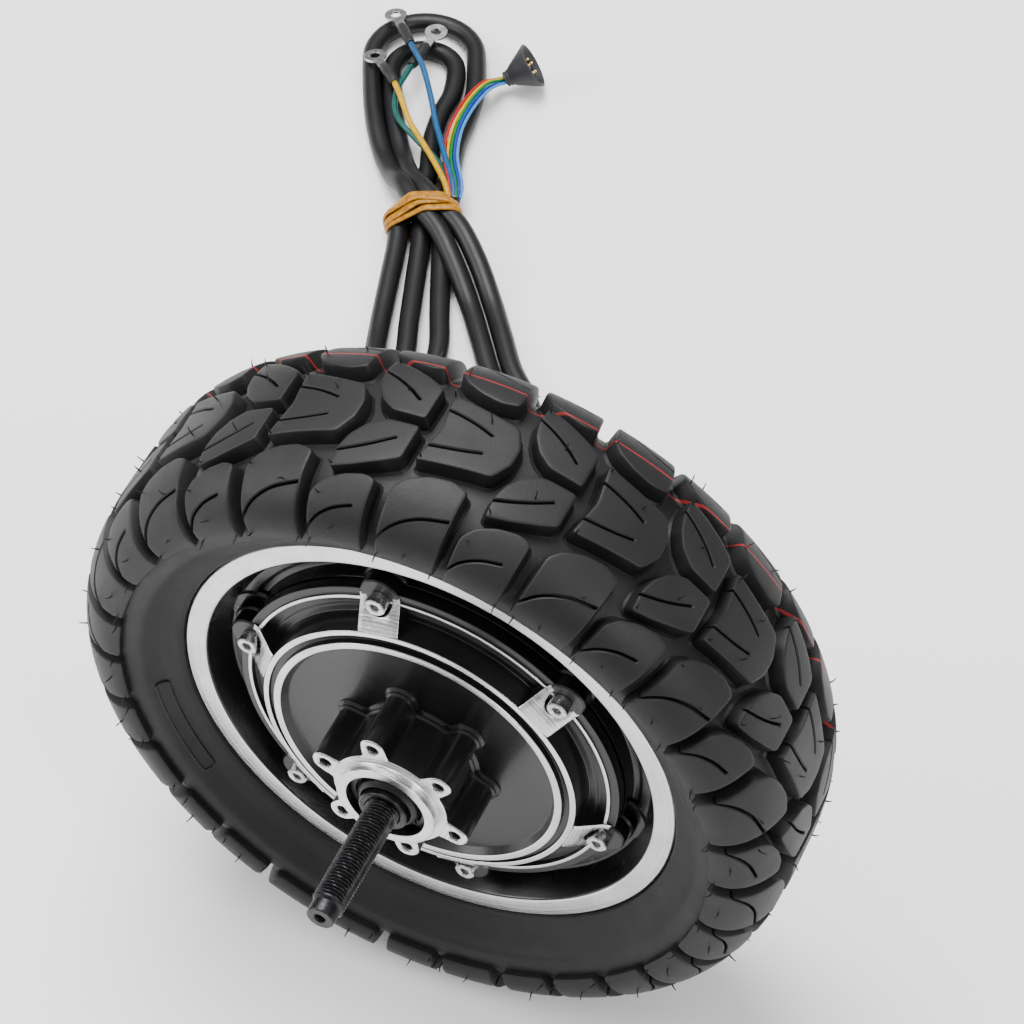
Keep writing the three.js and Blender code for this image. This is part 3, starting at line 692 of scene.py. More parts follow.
def add_hall_wires():
    boot_at = from_hank(BOOT_PLACE)
    ahead = boot_direction()
    turn = Vector((0, 1, 0)).rotation_difference(Vector(ahead)).to_matrix().to_4x4()
    place = Matrix.Translation(Vector(boot_at)) @ turn

    shells = Shells()
    outer = [(1.2, -1.4), (3.4, -1.4), (3.5, -0.6), (3.2, -0.3), (3.9, 0.6), (3.6, 1), (4.6, 2.2)]
    cone = [(10.2, 12.1), (10.3, 12.5), (9.5, 12.6), (4.9, 4.1), (1.2, 4)]
    turned(shells, rounded(outer + cone, 0.3), 96, place=place)
    boot = shells.build("hall_boot", [boot_material()], AXLE, ["hall_connector_boot"])

    shells = Shells()
    body = [(0.001, 4.3), (4.4, 4.5), (4.8, 5), (7, 9.8), (7, 10.4), (6.3, 10.5), (6, 8.4), (0.001, 8.4)]
    turned(shells, rounded(body, 0.2, closed=False), 64, None, place, closed=False)
    for k in range(5):
        angle = 2 * math.pi * k / 5
        pin_place = place @ Matrix.Translation((3.5 * math.cos(angle), 0, 3.5 * math.sin(angle)))
        pin = [(0.001, 8), (0.6, 8), (0.6, 11.4), (0.4, 12), (0.001, 12)]
        turned(shells, pin, 16, lambda r, y: 1, pin_place, closed=False)
    turned(shells, [(0.001, 8), (1, 8), (1, 10.4), (0.8, 10.8), (0.001, 10.8)], 16, None, place, closed=False)
    finishes = [plastic_material(), brass_material()]
    plug = shells.build("hall_plug", finishes, AXLE, ["hall_connector"])

    line = smooth_line([from_hank(p) for p in HALL_ROUTE], 1.5)
    ahead = unit(np.gradient(line, axis=0))
    aside = unit(np.cross(ahead, (0, 0, 1)))
    narrow = np.interp(np.linspace(0, 1, len(line)), [0, 0.05, 0.9, 1], [0.6, 1.08, 1.08, 0.75])
    for k, (color, shade) in enumerate(HALL_COLORS.items()):
        offset = (k - 2) * HALL_WIRE * narrow[:, None]
        lift = 0.35 * np.sin(np.linspace(0, 5 + k, len(line)) + k)[:, None] * np.array([0, 0, 1])
        strand_line = line + aside * offset + lift
        wire = cord_object(
            "hall_strand_" + color, strand_line * MM, HALL_WIRE * MM, wire_material("hall_" + color, shade), 3)
        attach(wire, AXLE)
        if k == 2:
            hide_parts("hall_wires")


def boot_material():
    """Dark grey moulded rubber of the connector's flared boot."""
    n = Nodes("boot_rubber", 0.5)
    n.color(n.ramp(n.noise(120, 4), [(0.3, (0.018, 0.018, 0.02)), (0.75, (0.034, 0.034, 0.037))]))
    n.rough(n.span(n.noise(260, 3), 0.42, 0.6))
    n.bump(n.noise(800, 3), 0.15, 0.0005)
    return n.material


def plastic_material():
    """Black moulded plastic."""
    n = Nodes("black_plastic", 0.4)
    n.color(n.ramp(n.noise(150, 3), [(0.3, (0.008, 0.008, 0.009)), (0.75, (0.018, 0.018, 0.019))]))
    n.rough(n.span(n.noise(300, 3), 0.32, 0.5))
    n.bump(n.noise(1100, 2), 0.12, 0.0004)
    return n.material


def brass_material():
    """Turned brass pins."""
    n = Nodes("brass", 0.28, 1.0)
    n.color(n.ramp(n.noise(600, 3), [(0.3, (0.5, 0.33, 0.1)), (0.7, (0.78, 0.56, 0.22))]))
    n.rough(n.span(n.noise(900, 3), 0.2, 0.4))
    n.bump(n.noise(900, 2), 0.1, 0.0003)
    return n.material


def turns_right(a, b, c):
    return np.cross(np.subtract(b, a), np.subtract(c, a)) <= 0


def hull(points):
    """The convex outline of plane points, anticlockwise."""
    points = sorted(map(tuple, points))

    def half(sequence):
        chain = []
        for p in sequence:
            while len(chain) > 1 and turns_right(chain[-2], chain[-1], p):
                chain.pop()
            chain.append(p)
        return chain[:-1]

    return np.array(half(points) + half(points[::-1]))


def even_loop(loop, count):
    """The closed loop's line as evenly spaced points."""
    closed = np.vstack([loop, loop[:1]])
    along = np.concatenate([[0], np.cumsum(np.linalg.norm(np.diff(closed, axis=0), axis=1))])
    stops = np.linspace(0, along[-1], count, endpoint=False)
    return np.stack([np.interp(stops, along, closed[:, k]) for k in range(2)], axis=1)


# Each turn of the band: its place along the hank, its slant and its height over the others.
BAND_TURNS = ((-7.4, 0.5, 0.0), (-5.2, -0.9, 0.9), (-2.6, 0.8, 0.1), (-0.6, -0.6, 0.8), (-4, 2.4, 1.6))


def add_band(line, material):
    """The elastic is wound several times round the runs, each turn at its own slant."""
    c, s = math.cos(TIE_TURN), math.sin(TIE_TURN)
    x, y = line[:, 0] - TIE.x, line[:, 1] - TIE.y
    runs = np.stack([x * c + y * s, -x * s + y * c, line[:, 2]], axis=1) / MM
    shells = Shells()
    for place, tilt, lift in BAND_TURNS:
        circles = []
        for a, b in zip(runs, runs[1:]):
            if (a[1] - place) * (b[1] - place) <= 0 and abs(a[0]) < 25 and a[1] != b[1]:
                t = (place - a[1]) / (b[1] - a[1])
                middle = a + (b - a) * t
                circles.append(circle((middle[0], middle[2]), CABLE / MM / 2 + 0.55 + lift, 40))
        oval = even_loop(hull(np.concatenate(circles)), 120)
        turns = np.linspace(0, 2 * math.pi, 120, endpoint=False)
        slant = place + tilt * np.sin(turns + place)
        path = [from_hank((p[0], u, max(p[1], FLOOR / MM + 0.5))) for p, u in zip(oval, slant)]
        ring = np.linspace(0, 2 * math.pi, 16, endpoint=False)

        def section(t):
            width = 1.7 + 0.35 * math.sin(2 * math.pi * t + place)
            return np.stack([width * np.cos(ring), 0.75 * np.sin(ring)], axis=1)

        middle = np.mean(path, axis=0)
        count = len(path)
        ahead = unit(np.roll(path, -1, axis=0) - np.roll(path, 1, axis=0))
        outward = unit(np.array(path) - middle)
        across = unit(np.cross(ahead, outward))
        over = np.cross(across, ahead)
        rings = [path[i] + section(i / count)[:, :1] * across[i] + section(i / count)[:, 1:2] * over[i]
                 for i in range(count)]
        n = len(ring)
        faces = [(i * n + k, i * n + (k + 1) % n, (i + 1) % count * n + (k + 1) % n, (i + 1) % count * n + k)
                 for i in range(count) for k in range(n)]
        shells.add(np.concatenate(rings), faces)
    return shells.build("elastic_band", [material], AXLE, ["rubber_band"], sharp=80)


cable, cable_exit, cable_end, cable_length = add_cable(sheath_material())
cable_line = np.array([tuple(p.co[:3]) for p in cable.data.splines[0].points])
band = add_band(cable_line, band_material())
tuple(cable_exit)
tinned, shrink_finish = tinned_material(), shrink_material()
for wire_color in WIRE_ROUTES:
    add_phase_wire(wire_color, tinned, shrink_finish)
add_hall_wires()


# ---------------------------------------------------------------- floor and light


SKY_PALE = (0.62, 0.62, 0.62)
SKY_GREY = (0.3, 0.3, 0.3)
SKY_TOP = (1.3, 1.3, 1.3)


def add_stage():
    n = Nodes("studio_floor", 0.6)
    n.color(n.ramp(n.noise(3, 2), [(0.3, (0.9, 0.9, 0.9)), (0.7, (0.93, 0.93, 0.93))]))
    corners = [(x, y, FLOOR - 0.0002) for x, y in ((-6, -6), (6, -6), (6, 6), (-6, 6))]
    floor = mesh_object("floor", corners, [(0, 1, 2, 3)], [n.material], False)
    for name, place, size, power in (
        ("overhead", (-0.5, 0.5, 2.0), 1.5, 75),
        ("left", (-1.8, -0.7, 1.1), 1.2, 34),
        ("right", (1.7, -0.6, 1.2), 0.9, 22),
    ):
        data = bpy.data.lights.new(name, "AREA")
        data.shape = "DISK"
        data.size = size
        data.energy = power
        light = link_object(name, data)
        light.location = place
        aim = Vector((0, 0, -0.03)) - light.location
        light.rotation_euler = aim.to_track_quat("-Z", "Y").to_euler()


def add_sky():
    """A pale horizon under a grey band and a bright top."""
    world = bpy.data.worlds.new("studio")
    world.use_nodes = True
    sky = Tree(world.node_tree, "Generated")
    parts = sky.add("ShaderNodeSeparateXYZ")
    sky.link(sky.place, parts.inputs["Vector"])
    shades = [(0.49, SKY_PALE), (0.56, SKY_PALE), (0.62, SKY_GREY), (0.7, SKY_GREY), (0.82, SKY_TOP)]
    shade = sky.ramp(sky.span(parts.outputs["Z"], 0, 1, -1, 1), shades)
    background = world.node_tree.nodes["Background"]
    sky.link(shade, background.inputs["Color"])
    background.inputs["Strength"].default_value = 0.9
    bpy.context.scene.world = world


add_stage()
add_sky()


# ---------------------------------------------------------------- metal, paint and rubber finishes


def polar(n):
    """The distance from the wheel's axis and the height along it, in metres."""
    parts = n.add("ShaderNodeSeparateXYZ")
    n.link(n.place, parts.inputs["Vector"])
    x, y, z = parts.outputs
    radius = n.math("SQRT", n.math("ADD", n.math("MULTIPLY", x, x), n.math("MULTIPLY", z, z)))
    return radius, y


def turned_lines(n, scale=2600):
    """Fine rings left by a lathe tool, as a value from 0 to 1."""
    radius, height = polar(n)
    ring = n.add("ShaderNodeCombineXYZ")
    n.link(radius, ring.inputs["X"])
    n.link(height, ring.inputs["Y"])
    return n.noise(scale, 2, 0.6, ring.outputs["Vector"])


def rubber_material():
    """Tyre rubber: satin black with dusty patches, and a thin red line round the cable side of the tread."""
    n = Nodes("tyre_rubber", 0.55)
    shades = [(0.3, (0.0045, 0.0045, 0.005)), (0.62, (0.008, 0.008, 0.009)), (0.85, (0.016, 0.016, 0.0175))]
    base = n.ramp(n.noise(28, 5, 0.6), shades)
    radius, y = polar(n)
    off_line = n.math("ABSOLUTE", n.math("SUBTRACT", y, 0.0254))
    wobble = n.span(n.noise(90, 2), -0.00012, 0.00012)
    on_line = n.math("MULTIPLY", n.math("LESS_THAN", n.math("ADD", off_line, wobble), 0.00034),
                     n.math("GREATER_THAN", radius, 0.105))
    strength = n.math("MULTIPLY", on_line, n.span(n.noise(160, 3), 0.35, 0.95))
    n.color(n.mix(strength, base, (0.3, 0.015, 0.015)))
    n.rough(n.span(n.noise(70, 5, 0.65), 0.4, 0.66))
    n.bump(n.math("ADD", n.noise(1300, 3), n.math("MULTIPLY", n.noise(160, 4), 0.5)), 0.16, 0.0005)
    return n.material


def black_paint_material(name="cover_paint", rough=0.3):
    """Black powder coat on cast aluminium: satin, with slight orange peel and dust."""
    n = Nodes(name, rough)
    n.color(n.ramp(n.noise(60, 4), [(0.3, (0.0025, 0.0025, 0.0028)), (0.8, (0.006, 0.006, 0.0065))]))
    n.rough(n.span(n.noise(130, 4), rough - 0.07, rough + 0.12))
    n.bump(n.math("ADD", n.noise(1100, 2), n.math("MULTIPLY", n.noise(3200, 2), 0.5)), 0.14, 0.0004)
    n.shader.inputs["Coat Weight"].default_value = 0.25
    n.shader.inputs["Coat Roughness"].default_value = 0.15
    return n.material


def machined_material(name="machined_aluminium", low=0.16, high=0.38):
    """Bright turned aluminium, with fine tool rings and faint stains."""
    n = Nodes(name, 0.28, 1.0)
    lines = turned_lines(n)
    stains = n.noise(70, 4)
    shade = n.math("ADD", n.math("MULTIPLY", lines, 0.55), n.math("MULTIPLY", stains, 0.45))
    n.color(n.ramp(shade, [(0.3, (0.45, 0.45, 0.46)), (0.7, (0.82, 0.82, 0.82))]))
    n.rough(n.span(lines, low, high, 0.3, 0.7))
    n.bump(lines, 0.3, 0.0003)
    n.shader.inputs["Anisotropic"].default_value = 0.5
    return n.material


def brushed_material():
    """Milled pads: bright, with straight close tool marks."""
    n = Nodes("milled_aluminium", 0.3, 1.0)
    lines = n.noise(500, 2, 0.6, n.stretch((1.0, 9.0, 1.0)))
    rings = turned_lines(n, 1500)
    both = n.math("ADD", n.math("MULTIPLY", lines, 0.3), n.math("MULTIPLY", rings, 0.7))
    n.color(n.ramp(both, [(0.35, (0.34, 0.34, 0.35)), (0.62, (0.82, 0.82, 0.82))]))
    n.rough(n.span(both, 0.2, 0.5, 0.3, 0.7))
    n.bump(both, 0.5, 0.0004)
    return n.material


def steel_material(name, shade=0.62, low=0.16, high=0.34, metallic=1.0):
    """Plated steel: bright, with small marks."""
    n = Nodes(name, 0.25, metallic)
    n.color(n.ramp(n.noise(420, 4), [(0.3, (0.55 * shade,) * 3), (0.7, (shade,) * 3)]))
    n.rough(n.span(n.noise(800, 3), low, high))
    n.bump(n.noise(1600, 3), 0.12, 0.0003)
    return n.material


def black_oxide_material(name="black_steel"):
    """Black-oxide steel: dark, with bright wear where edges rub."""
    n = Nodes(name, 0.32, 1.0)
    shades = [(0.3, (0.022, 0.022, 0.024)), (0.66, (0.05, 0.05, 0.053)), (0.84, (0.14, 0.14, 0.145))]
    n.color(n.ramp(n.noise(260, 5, 0.65), shades))
    n.rough(n.span(n.noise(500, 4), 0.24, 0.46))
    n.bump(n.noise(1500, 3), 0.18, 0.0003)
    return n.material


def seal_material():
    """Nitrile shaft seal: black and slightly oily."""
    n = Nodes("seal_rubber", 0.4)
    n.color(n.ramp(n.noise(200, 3), [(0.3, (0.007, 0.007, 0.008)), (0.75, (0.018, 0.018, 0.019))]))
    n.rough(n.span(n.noise(300, 3), 0.28, 0.5))
    n.bump(turned_lines(n, 1800), 0.15, 0.0004)
    return n.material


def plain_material(name, dark, light, rough, metallic=0.0, scale=200):
    """A finish for parts inside the wheel."""
    n = Nodes(name, rough, metallic)
    n.color(n.ramp(n.noise(scale, 4), [(0.3, dark), (0.75, light)]))
    n.rough(n.span(n.noise(scale * 2, 3), max(0.1, rough - 0.1), rough + 0.12))
    n.bump(n.noise(scale * 4, 3), 0.15, 0.0004)
    return n.material


RUBBER = rubber_material()
COVER_PAINT = black_paint_material()
RIM_PAINT = black_paint_material("rim_paint", 0.22)
MACHINED = machined_material()
MILLED = brushed_material()
BLACK_STEEL = black_oxide_material()
SEAL = seal_material()
PLATED = steel_material("plated_steel", 0.75)
SCREW_STEEL = steel_material("screw_steel", 0.7, 0.18, 0.36)

# ---------------------------------------------------------------- tyre

BLOCKS_PER_TURN = 15
PITCH = 360 / BLOCKS_PER_TURN
FIRST_PITCH = 46.4                     # row angle of a pitch's start, from +X towards +Z
CROWN = 127
ARC_PER_DEGREE = CROWN * math.pi / 180
PITCH_START = -0.25                    # degrees: a cut that clears every block
TREAD_HALF = 58                        # arc length from the centre line to the plain sidewall

TYRE_LINE = [
    (127, 0), (127, 7), (126.8, 14), (125.9, 21), (123.6, 28), (119.4, 34.2), (114, 38), (107.8, 38.9),
    (102, 35.8), (97, 31), (92.8, 27.4), (90.4, 25.9), (89.2, 24.8),
]
TYRE_BEAD = [
    (88.9, 23.4), (88.5, 20.9), (86.5, 20.3), (84.6, 20.1), (83.4, 19.4), (83, 18.2), (83, 14.5), (83.2, 12),
    (86.5, 12.5), (88.8, 18.6), (94, 24), (100, 29), (108, 32), (113, 28), (117, 20), (118.5, 9),
]

# Each block is an outline in degrees round the wheel and millimetres from the centre line.
SIDE_BLOCKS = {
    "slanted_centre": [
        (0.1, 2.2), (4.9, 2.4), (7.2, 5.8), (8.7, 10.8), (9.4, 16.8), (9.2, 23.4), (6, 21.4), (2.6, 18.2),
        (0.1, 15.2),
    ],
    "long_shoulder": [(13.2, 19.4), (15.6, 17.8), (18.8, 19), (21.6, 22), (23, 25.8), (23.4, 51), (13.7, 51)],
    "short_shoulder": [(2.1, 25.4), (3.8, 24.4), (6.8, 25.8), (9.6, 28.8), (11, 32.8), (11.3, 51), (2.4, 51)],
}
CENTRE_BLOCK = [
    (9.9, -3.4), (11.4, -10.2), (21.8, -13.8), (21.3, -6.8), (20.8, 0), (21.3, 6.8), (21.8, 13.8), (11.4, 10.2),
    (9.9, 3.4),
]
SIDE_SIPES = [
    [(9.5, 17.8), (7.2, 15.6), (4.6, 12.4), (2.2, 8.6)],
    [(21.7, 7.8), (19.2, 6.9), (16.6, 5.6), (14.2, 3.9)],
    [(23.8, 43.5), (21.4, 37.4), (18, 33), (13.6, 30.4)],
    [(11.6, 45), (9.8, 40.2), (7.2, 36.8), (4.2, 34.8)],
]
BLOCK_CORNER = 1.7
GROW = 0.6                             # how far a block reaches outside its outline
# Each ring is an inset from a block's or a sipe's line, and a height.
WALL_RINGS = ((-1.4, 0.0), (-0.55, 0.0), (0.0, -0.8), (0.25, -0.22), (0.6, -0.04), (1.1, 0.0))
SIPE_RINGS = ((0.28, -3.6), (0.48, -0.35), (0.85, 0.0))


def tyre_section():
    """Radius, half width and outward normal of the tyre against arc length from the centre line."""
    line = smooth_line([(r, y, 0) for r, y in TYRE_LINE], 0.5)[:, :2]
    arc_length = np.concatenate([[0], np.cumsum(np.linalg.norm(np.diff(line, axis=0), axis=1))])
    ahead = unit(np.gradient(line, axis=0))
    normal = np.stack([ahead[:, 1], -ahead[:, 0]], axis=1)
    normal[0] = (1, 0)
    return arc_length, line, normal


SECTION = tyre_section()


def on_tyre(around, across, drop):
    """Points on the tyre: arc length round the crown and across it, and depth under the surface."""
    arc_length, line, normal = SECTION
    half = np.abs(across)
    radius, width = (np.interp(half, arc_length, line[:, k]) for k in range(2))
    out_r, out_w = (np.interp(half, arc_length, normal[:, k]) for k in range(2))
    radius = radius - drop * out_r
    width = width - drop * out_w
    turn = np.radians(FIRST_PITCH + around / ARC_PER_DEGREE)
    return np.stack([radius * np.cos(turn), -np.sign(across) * width, radius * np.sin(turn)], axis=1)


def groove_depth(across):
    return np.interp(np.abs(across), [0, 36, 46, 50, 53.5, TREAD_HALF], [6.4, 6.4, 5.4, 4.4, 1.6, 0])


def in_arc(outline, mirror=1):
    """An outline of degrees and millimetres as arc lengths, anticlockwise."""
    points = [(a * ARC_PER_DEGREE, mirror * b) for a, b in outline]
    return np.array(points[::-1] if mirror < 0 else points)


def around_line(line, offset):
    """A closed loop that keeps one distance from an open line, round at its inner end."""
    ahead = unit(np.gradient(line, axis=0))
    aside = np.stack([-ahead[:, 1], ahead[:, 0]], axis=1) * offset
    bend = np.radians(np.linspace(90, -90, 7))[1:-1]
    end, last = line[-1], ahead[-1]
    side = np.array([-last[1], last[0]])
    cap = [end + offset * (last * math.cos(t) + side * math.sin(t)) for t in bend]
    return np.concatenate([line + aside, cap, (line - aside)[::-1]])


def tread_pitch():
    """One repeat of the tread as plan points, triangles and depths under the surface."""
    outlines = [in_arc(CENTRE_BLOCK)]
    outlines += [in_arc(outline, mirror) for outline in SIDE_BLOCKS.values() for mirror in (1, -1)]
    blocks = [divided(rounded(inset(outline, -GROW), BLOCK_CORNER, 4), 2.4) for outline in outlines]
    sipes = []
    for sipe in SIDE_SIPES:
        for mirror in (1, -1):
            line = [(a * ARC_PER_DEGREE, mirror * b, 0) for a, b in sipe]
            sipes.append(smooth_line(line, 2.0)[:, :2])

    loops = [inset(block, ring) for block in blocks for ring, _ in WALL_RINGS]
    loops += [around_line(sipe, ring) for sipe in sipes for ring, _ in SIPE_RINGS]
    left, right = PITCH_START * ARC_PER_DEGREE, (PITCH_START + PITCH) * ARC_PER_DEGREE
    columns = np.linspace(left, right, int(PITCH) + 1)
    rows = np.linspace(-TREAD_HALF, TREAD_HALF, 61)
    frame_loop = np.array(
        [(x, -TREAD_HALF) for x in columns[:-1]] + [(right, y) for y in rows[:-1]]
        + [(x, TREAD_HALF) for x in columns[:0:-1]] + [(left, y) for y in rows[:0:-1]])

    starts = np.concatenate(loops)
    ends = np.concatenate([np.roll(loop, -1, axis=0) for loop in loops])
    across = np.arange(-TREAD_HALF + 1.5, TREAD_HALF - 1, 1.8)
    x, y = np.meshgrid(np.arange(left + 1.2, right - 0.8, 2.0), across)
    extra = np.stack([x.ravel(), y.ravel()], axis=1)
    extra = extra[distance_to(extra, (starts, ends)) > 0.7]
    points, faces = triangulated([frame_loop] + loops, extra)

    block_starts = np.concatenate(blocks)
    block_ends = np.concatenate([np.roll(block, -1, axis=0) for block in blocks])
    depth_in = distance_to(points, (block_starts, block_ends)) * np.where(inside(points, blocks), 1, -1)
    floor = groove_depth(points[:, 1])
    rings = [ring for ring, _ in WALL_RINGS]
    top = np.interp(depth_in, rings[2:], [-d for _, d in WALL_RINGS[2:]])
    share = np.interp(depth_in, rings[:3], [1, 0.86, 0])
    drop = top * (1 - share) + floor * share
    sipe_starts = np.concatenate([sipe[:-1] for sipe in sipes])
    sipe_ends = np.concatenate([sipe[1:] for sipe in sipes])
    away = distance_to(points, (sipe_starts, sipe_ends))
    cut = np.interp(away, [ring for ring, _ in SIPE_RINGS], [-d for _, d in SIPE_RINGS])
    return points, faces, np.minimum(np.maximum(drop, cut), np.maximum(floor, 0))


def add_tyre():
    shells = Shells()
    points, faces, drop = tread_pitch()
    for k in range(BLOCKS_PER_TURN):
        shells.add(on_tyre(points[:, 0] + k * PITCH * ARC_PER_DEGREE, points[:, 1], drop), faces)

    arc_length, line, _ = SECTION
    stops = np.append(np.arange(TREAD_HALF, arc_length[-1], 1.6), arc_length[-1])
    wall = np.stack([np.interp(stops, arc_length, line[:, k]) for k in range(2)], axis=1).tolist()
    ribs = {6: 0.35, 8: 0.35}
    wall = [(r, w + ribs.get(i, 0)) for i, (r, w) in enumerate(wall)]
    half = wall + TYRE_BEAD
    profile = [(r, -w) for r, w in half] + [(r, w) for r, w in half[::-1]]
    turn = Matrix.Rotation(-math.radians(FIRST_PITCH + PITCH_START), 4, "Y")
    turned(shells, profile, 360, place=turn, closed=False)
    tyre = shells.build("tyre_skin", [RUBBER], ROTOR, ["tyre"], sharp=32)
    return tyre


def add_blank_plate():
    """A raised blank field on the sidewall where a size would be moulded."""
    shells = Shells()
    arc_length, line, _ = SECTION
    middle = float(np.interp(-96.5, -line[:, 0][30:], arc_length[30:]))
    length, width = 26 * ARC_PER_DEGREE, 5.4
    plan = rounded([(0, -width / 2), (length, -width / 2), (length, width / 2), (0, width / 2)], 2.4, 6)
    plan = divided(plan, 2)
    start = (188 - FIRST_PITCH) * ARC_PER_DEGREE

    def place(points, height):
        return on_tyre(points[:, 0] + start, points[:, 1] + middle, -height)

    rim_line = inset(plan, 0.9)
    slab(shells, [plan, rim_line[::-1]], level(0.7), -0.6, place, 0.2, 1.6)
    slab(shells, [inset(plan, 0.7)], level(0.25), -0.6, place, 0.1, 1.6)
    shells.build("sidewall_plate", [RUBBER], ROTOR)


def add_hairs():
    """Thin moulding hairs on block corners and edges."""
    random = np.random.default_rng(7)
    shells = Shells()
    spots = [
        (2.4, 49), (11, 49.4), (23.2, 49.4), (13.8, 49), (22.4, 25.4), (10.4, 32.6), (9, 22.6), (16, 30),
        (7, 43), (21.6, 13.4), (15, 8), (4.4, 11), (18.5, 46),
    ]
    ring = np.linspace(0, 2 * math.pi, 6, endpoint=False)
    for k in range(BLOCKS_PER_TURN):
        for a, b in spots:
            for mirror in (1, -1):
                if random.random() < 0.3:
                    continue
                around = (a + random.normal(0, 0.25) + k * PITCH) * ARC_PER_DEGREE
                across = mirror * (b + random.normal(0, 0.4))
                length = random.uniform(1.4, 3.4)
                lean = random.normal(0, 0.2, 2)
                steps = np.linspace(-0.6, 1, 5) * length
                bend = np.maximum(0, steps / length) ** 2 * length
                path = on_tyre(around + lean[0] * bend, across + lean[1] * bend, -steps)
                sweep(shells, path, lambda t: np.stack(
                    [(0.42 - 0.26 * t) * np.cos(ring), (0.42 - 0.26 * t) * np.sin(ring)], axis=1),
                    up=(0.3, 0.9, 0.2))
    shells.build("moulding_hairs", [RUBBER], ROTOR, sharp=80)


add_tyre()
add_blank_plate()
add_hairs()

# ---------------------------------------------------------------- rim, valve, covers and screws

BOLT_ANGLES = [math.radians(43.1 + 60 * k) for k in range(6)]
SCREW_CIRCLE = 65.7
SIDES = {"disc_side": -1, "cable_side": 1}


def add_rim():
    shells = Shells()
    half = [
        (61, -18), (68.9, -18), (69.2, -12.5), (71.8, -12.2), (72.4, -13.4), (76.4, -13.4), (80.6, -23.4),
        (81.4, -24), (88, -24), (88.6, -23.5), (88.6, -21), (84.2, -20.6), (82.5, -18.6), (82.1, -9.5),
        (77.8, -5),
    ]
    profile = rounded([(61, -12)] + half[1:] + [(r, -y) for r, y in half[:0:-1]] + [(61, 12)], 0.8, 4)

    def finish(radius, y):
        return 1 if radius > 80.9 and abs(y) > 23.3 else 0

    turned(shells, profile, 360, finish)
    for side in SIDES.values():
        for angle in BOLT_ANGLES:
            place = on_side(side, angle)
            slab(shells, [circle((66.6, 0), 11.8, 60)], level(14.2), 8, place, 0.9, 3)
            slab(shells, [circle((66.6, 0), 8.2, 48)], level(17.9), 8, place, 0.7, 3)
    shells.build("rim_skin", [RIM_PAINT, MACHINED], ROTOR, ["rim"])


VALVE_ANGLE = math.radians(73.1)
VALVE_RADIUS = 72.8


def add_valve():
    middle = VALVE_RADIUS * math.cos(VALVE_ANGLE), 0, VALVE_RADIUS * math.sin(VALVE_ANGLE)
    place = Matrix.Translation(middle)
    shells = Shells()
    stem = [
        (0.001, 5), (3.2, 5), (3.2, 20), (4.4, 20.4), (4.4, 22), (3.1, 22.6), (2.9, 30), (2.6, 36), (0.001, 36),
    ]
    turned(shells, rounded(stem, 0.3, closed=False), 48, None, place, closed=False)
    shells.build("valve_stem_skin", [SEAL], ROTOR, ["valve_stem"])

    shells = Shells()
    cap = rounded([(0.001, 36.3), (3.4, 36.3), (3.4, 43.6), (2.6, 44.5), (0.001, 44.5)], 0.35, closed=False)
    turned(shells, cap, 48, None, place, closed=False)
    for k in range(20):
        angle = 2 * math.pi * k / 20
        at = place @ Matrix.Translation((3.35 * math.cos(angle), 0, 3.35 * math.sin(angle)))
        rib = rounded([(0.001, 37), (0.3, 37), (0.3, 42.9), (0.001, 42.9)], 0.1, 2, False)
        turned(shells, rib, 8, None, at, closed=False)
    shells.build("valve_cap_skin", [plastic_material()], ROTOR, ["valve_cap"])


COVER_SECTION = [
    (47.7, 28.5), (49.5, 31.4), (52, 31.4), (52, 28.8), (54.3, 28.8), (54.3, 30.2), (56.4, 30),
    (57.6, 21.6), (60.2, 21.6), (60.8, 20.9), (64.2, 20.9), (64.2, 23.2), (65.6, 23.2), (65.6, 22.3),
    (68.5, 22.3), (68.5, 18.3), (60.7, 18.3), (60.7, 16.4), (57.5, 16.4), (57.5, 20), (54.5, 24.5),
]
HUBS = {
    "disc_side": [
        (11.5, 24.5), (11.5, 36.4), (14, 36.4), (14, 54.4), (17.5, 54.4), (17.5, 50.9), (20, 50.9), (20, 28.5),
    ],
    "cable_side": [
        (21, 24.5), (21, 39.3), (18.4, 39.3), (18.4, 40.4), (17.5, 40.4), (17.5, 48), (25.5, 48), (25.5, 28.5),
    ],
}
BRIGHT_RINGS = ((49.4, 52.05, 31), (54.25, 56.45, 29.8), (64.15, 65.65, 23))


def lobed_outline(center_radius, lobe, valley, count):
    """Six lobes round a circle, joined by shallow valleys."""
    points = []
    for t in np.linspace(0, 2 * math.pi, count, endpoint=False):
        best = valley
        for angle in BOLT_ANGLES:
            turn = (t - angle + math.pi) % (2 * math.pi) - math.pi
            across = center_radius * math.sin(abs(turn))
            if across < lobe and abs(turn) < 1:
                reach = center_radius * math.cos(turn) + math.sqrt(lobe ** 2 - across ** 2)
                best = max(best, reach)
        points.append(best)
    reach = np.array(points)
    for _ in range(2):
        reach = (np.roll(reach, 1) + 2 * reach + np.roll(reach, -1)) / 4
    t = np.linspace(0, 2 * math.pi, count, endpoint=False)
    return np.stack([reach * np.cos(t), reach * np.sin(t)], axis=1)


def pad_outline():
    """A milled pad seen from the side: a strip with a round notch at its screw."""
    notch = [
        (SCREW_CIRCLE + 4.7 * math.cos(t), 4.7 * math.sin(t))
        for t in np.radians(np.linspace(286, 74, 24))
    ]
    return divided(np.array([(56.2, -7.2), (67, -7.2)] + notch + [(67, 7.2), (56.2, 7.2)]), 1.5)


def lug_thread():
    """The threaded wall of one disc screw hole."""
    pitch, turns = 0.8, 12
    crest, root, wall = 1.85, 2.08, 2.3
    inner = []
    for start in np.arange(turns) * pitch - 50.3:
        inner += [(crest, start), (crest, start + 0.2), (root, start + 0.45), (root, start + 0.6)]
    return inner + [(wall, inner[-1][1]), (wall, -50.6), (root, -50.6)]


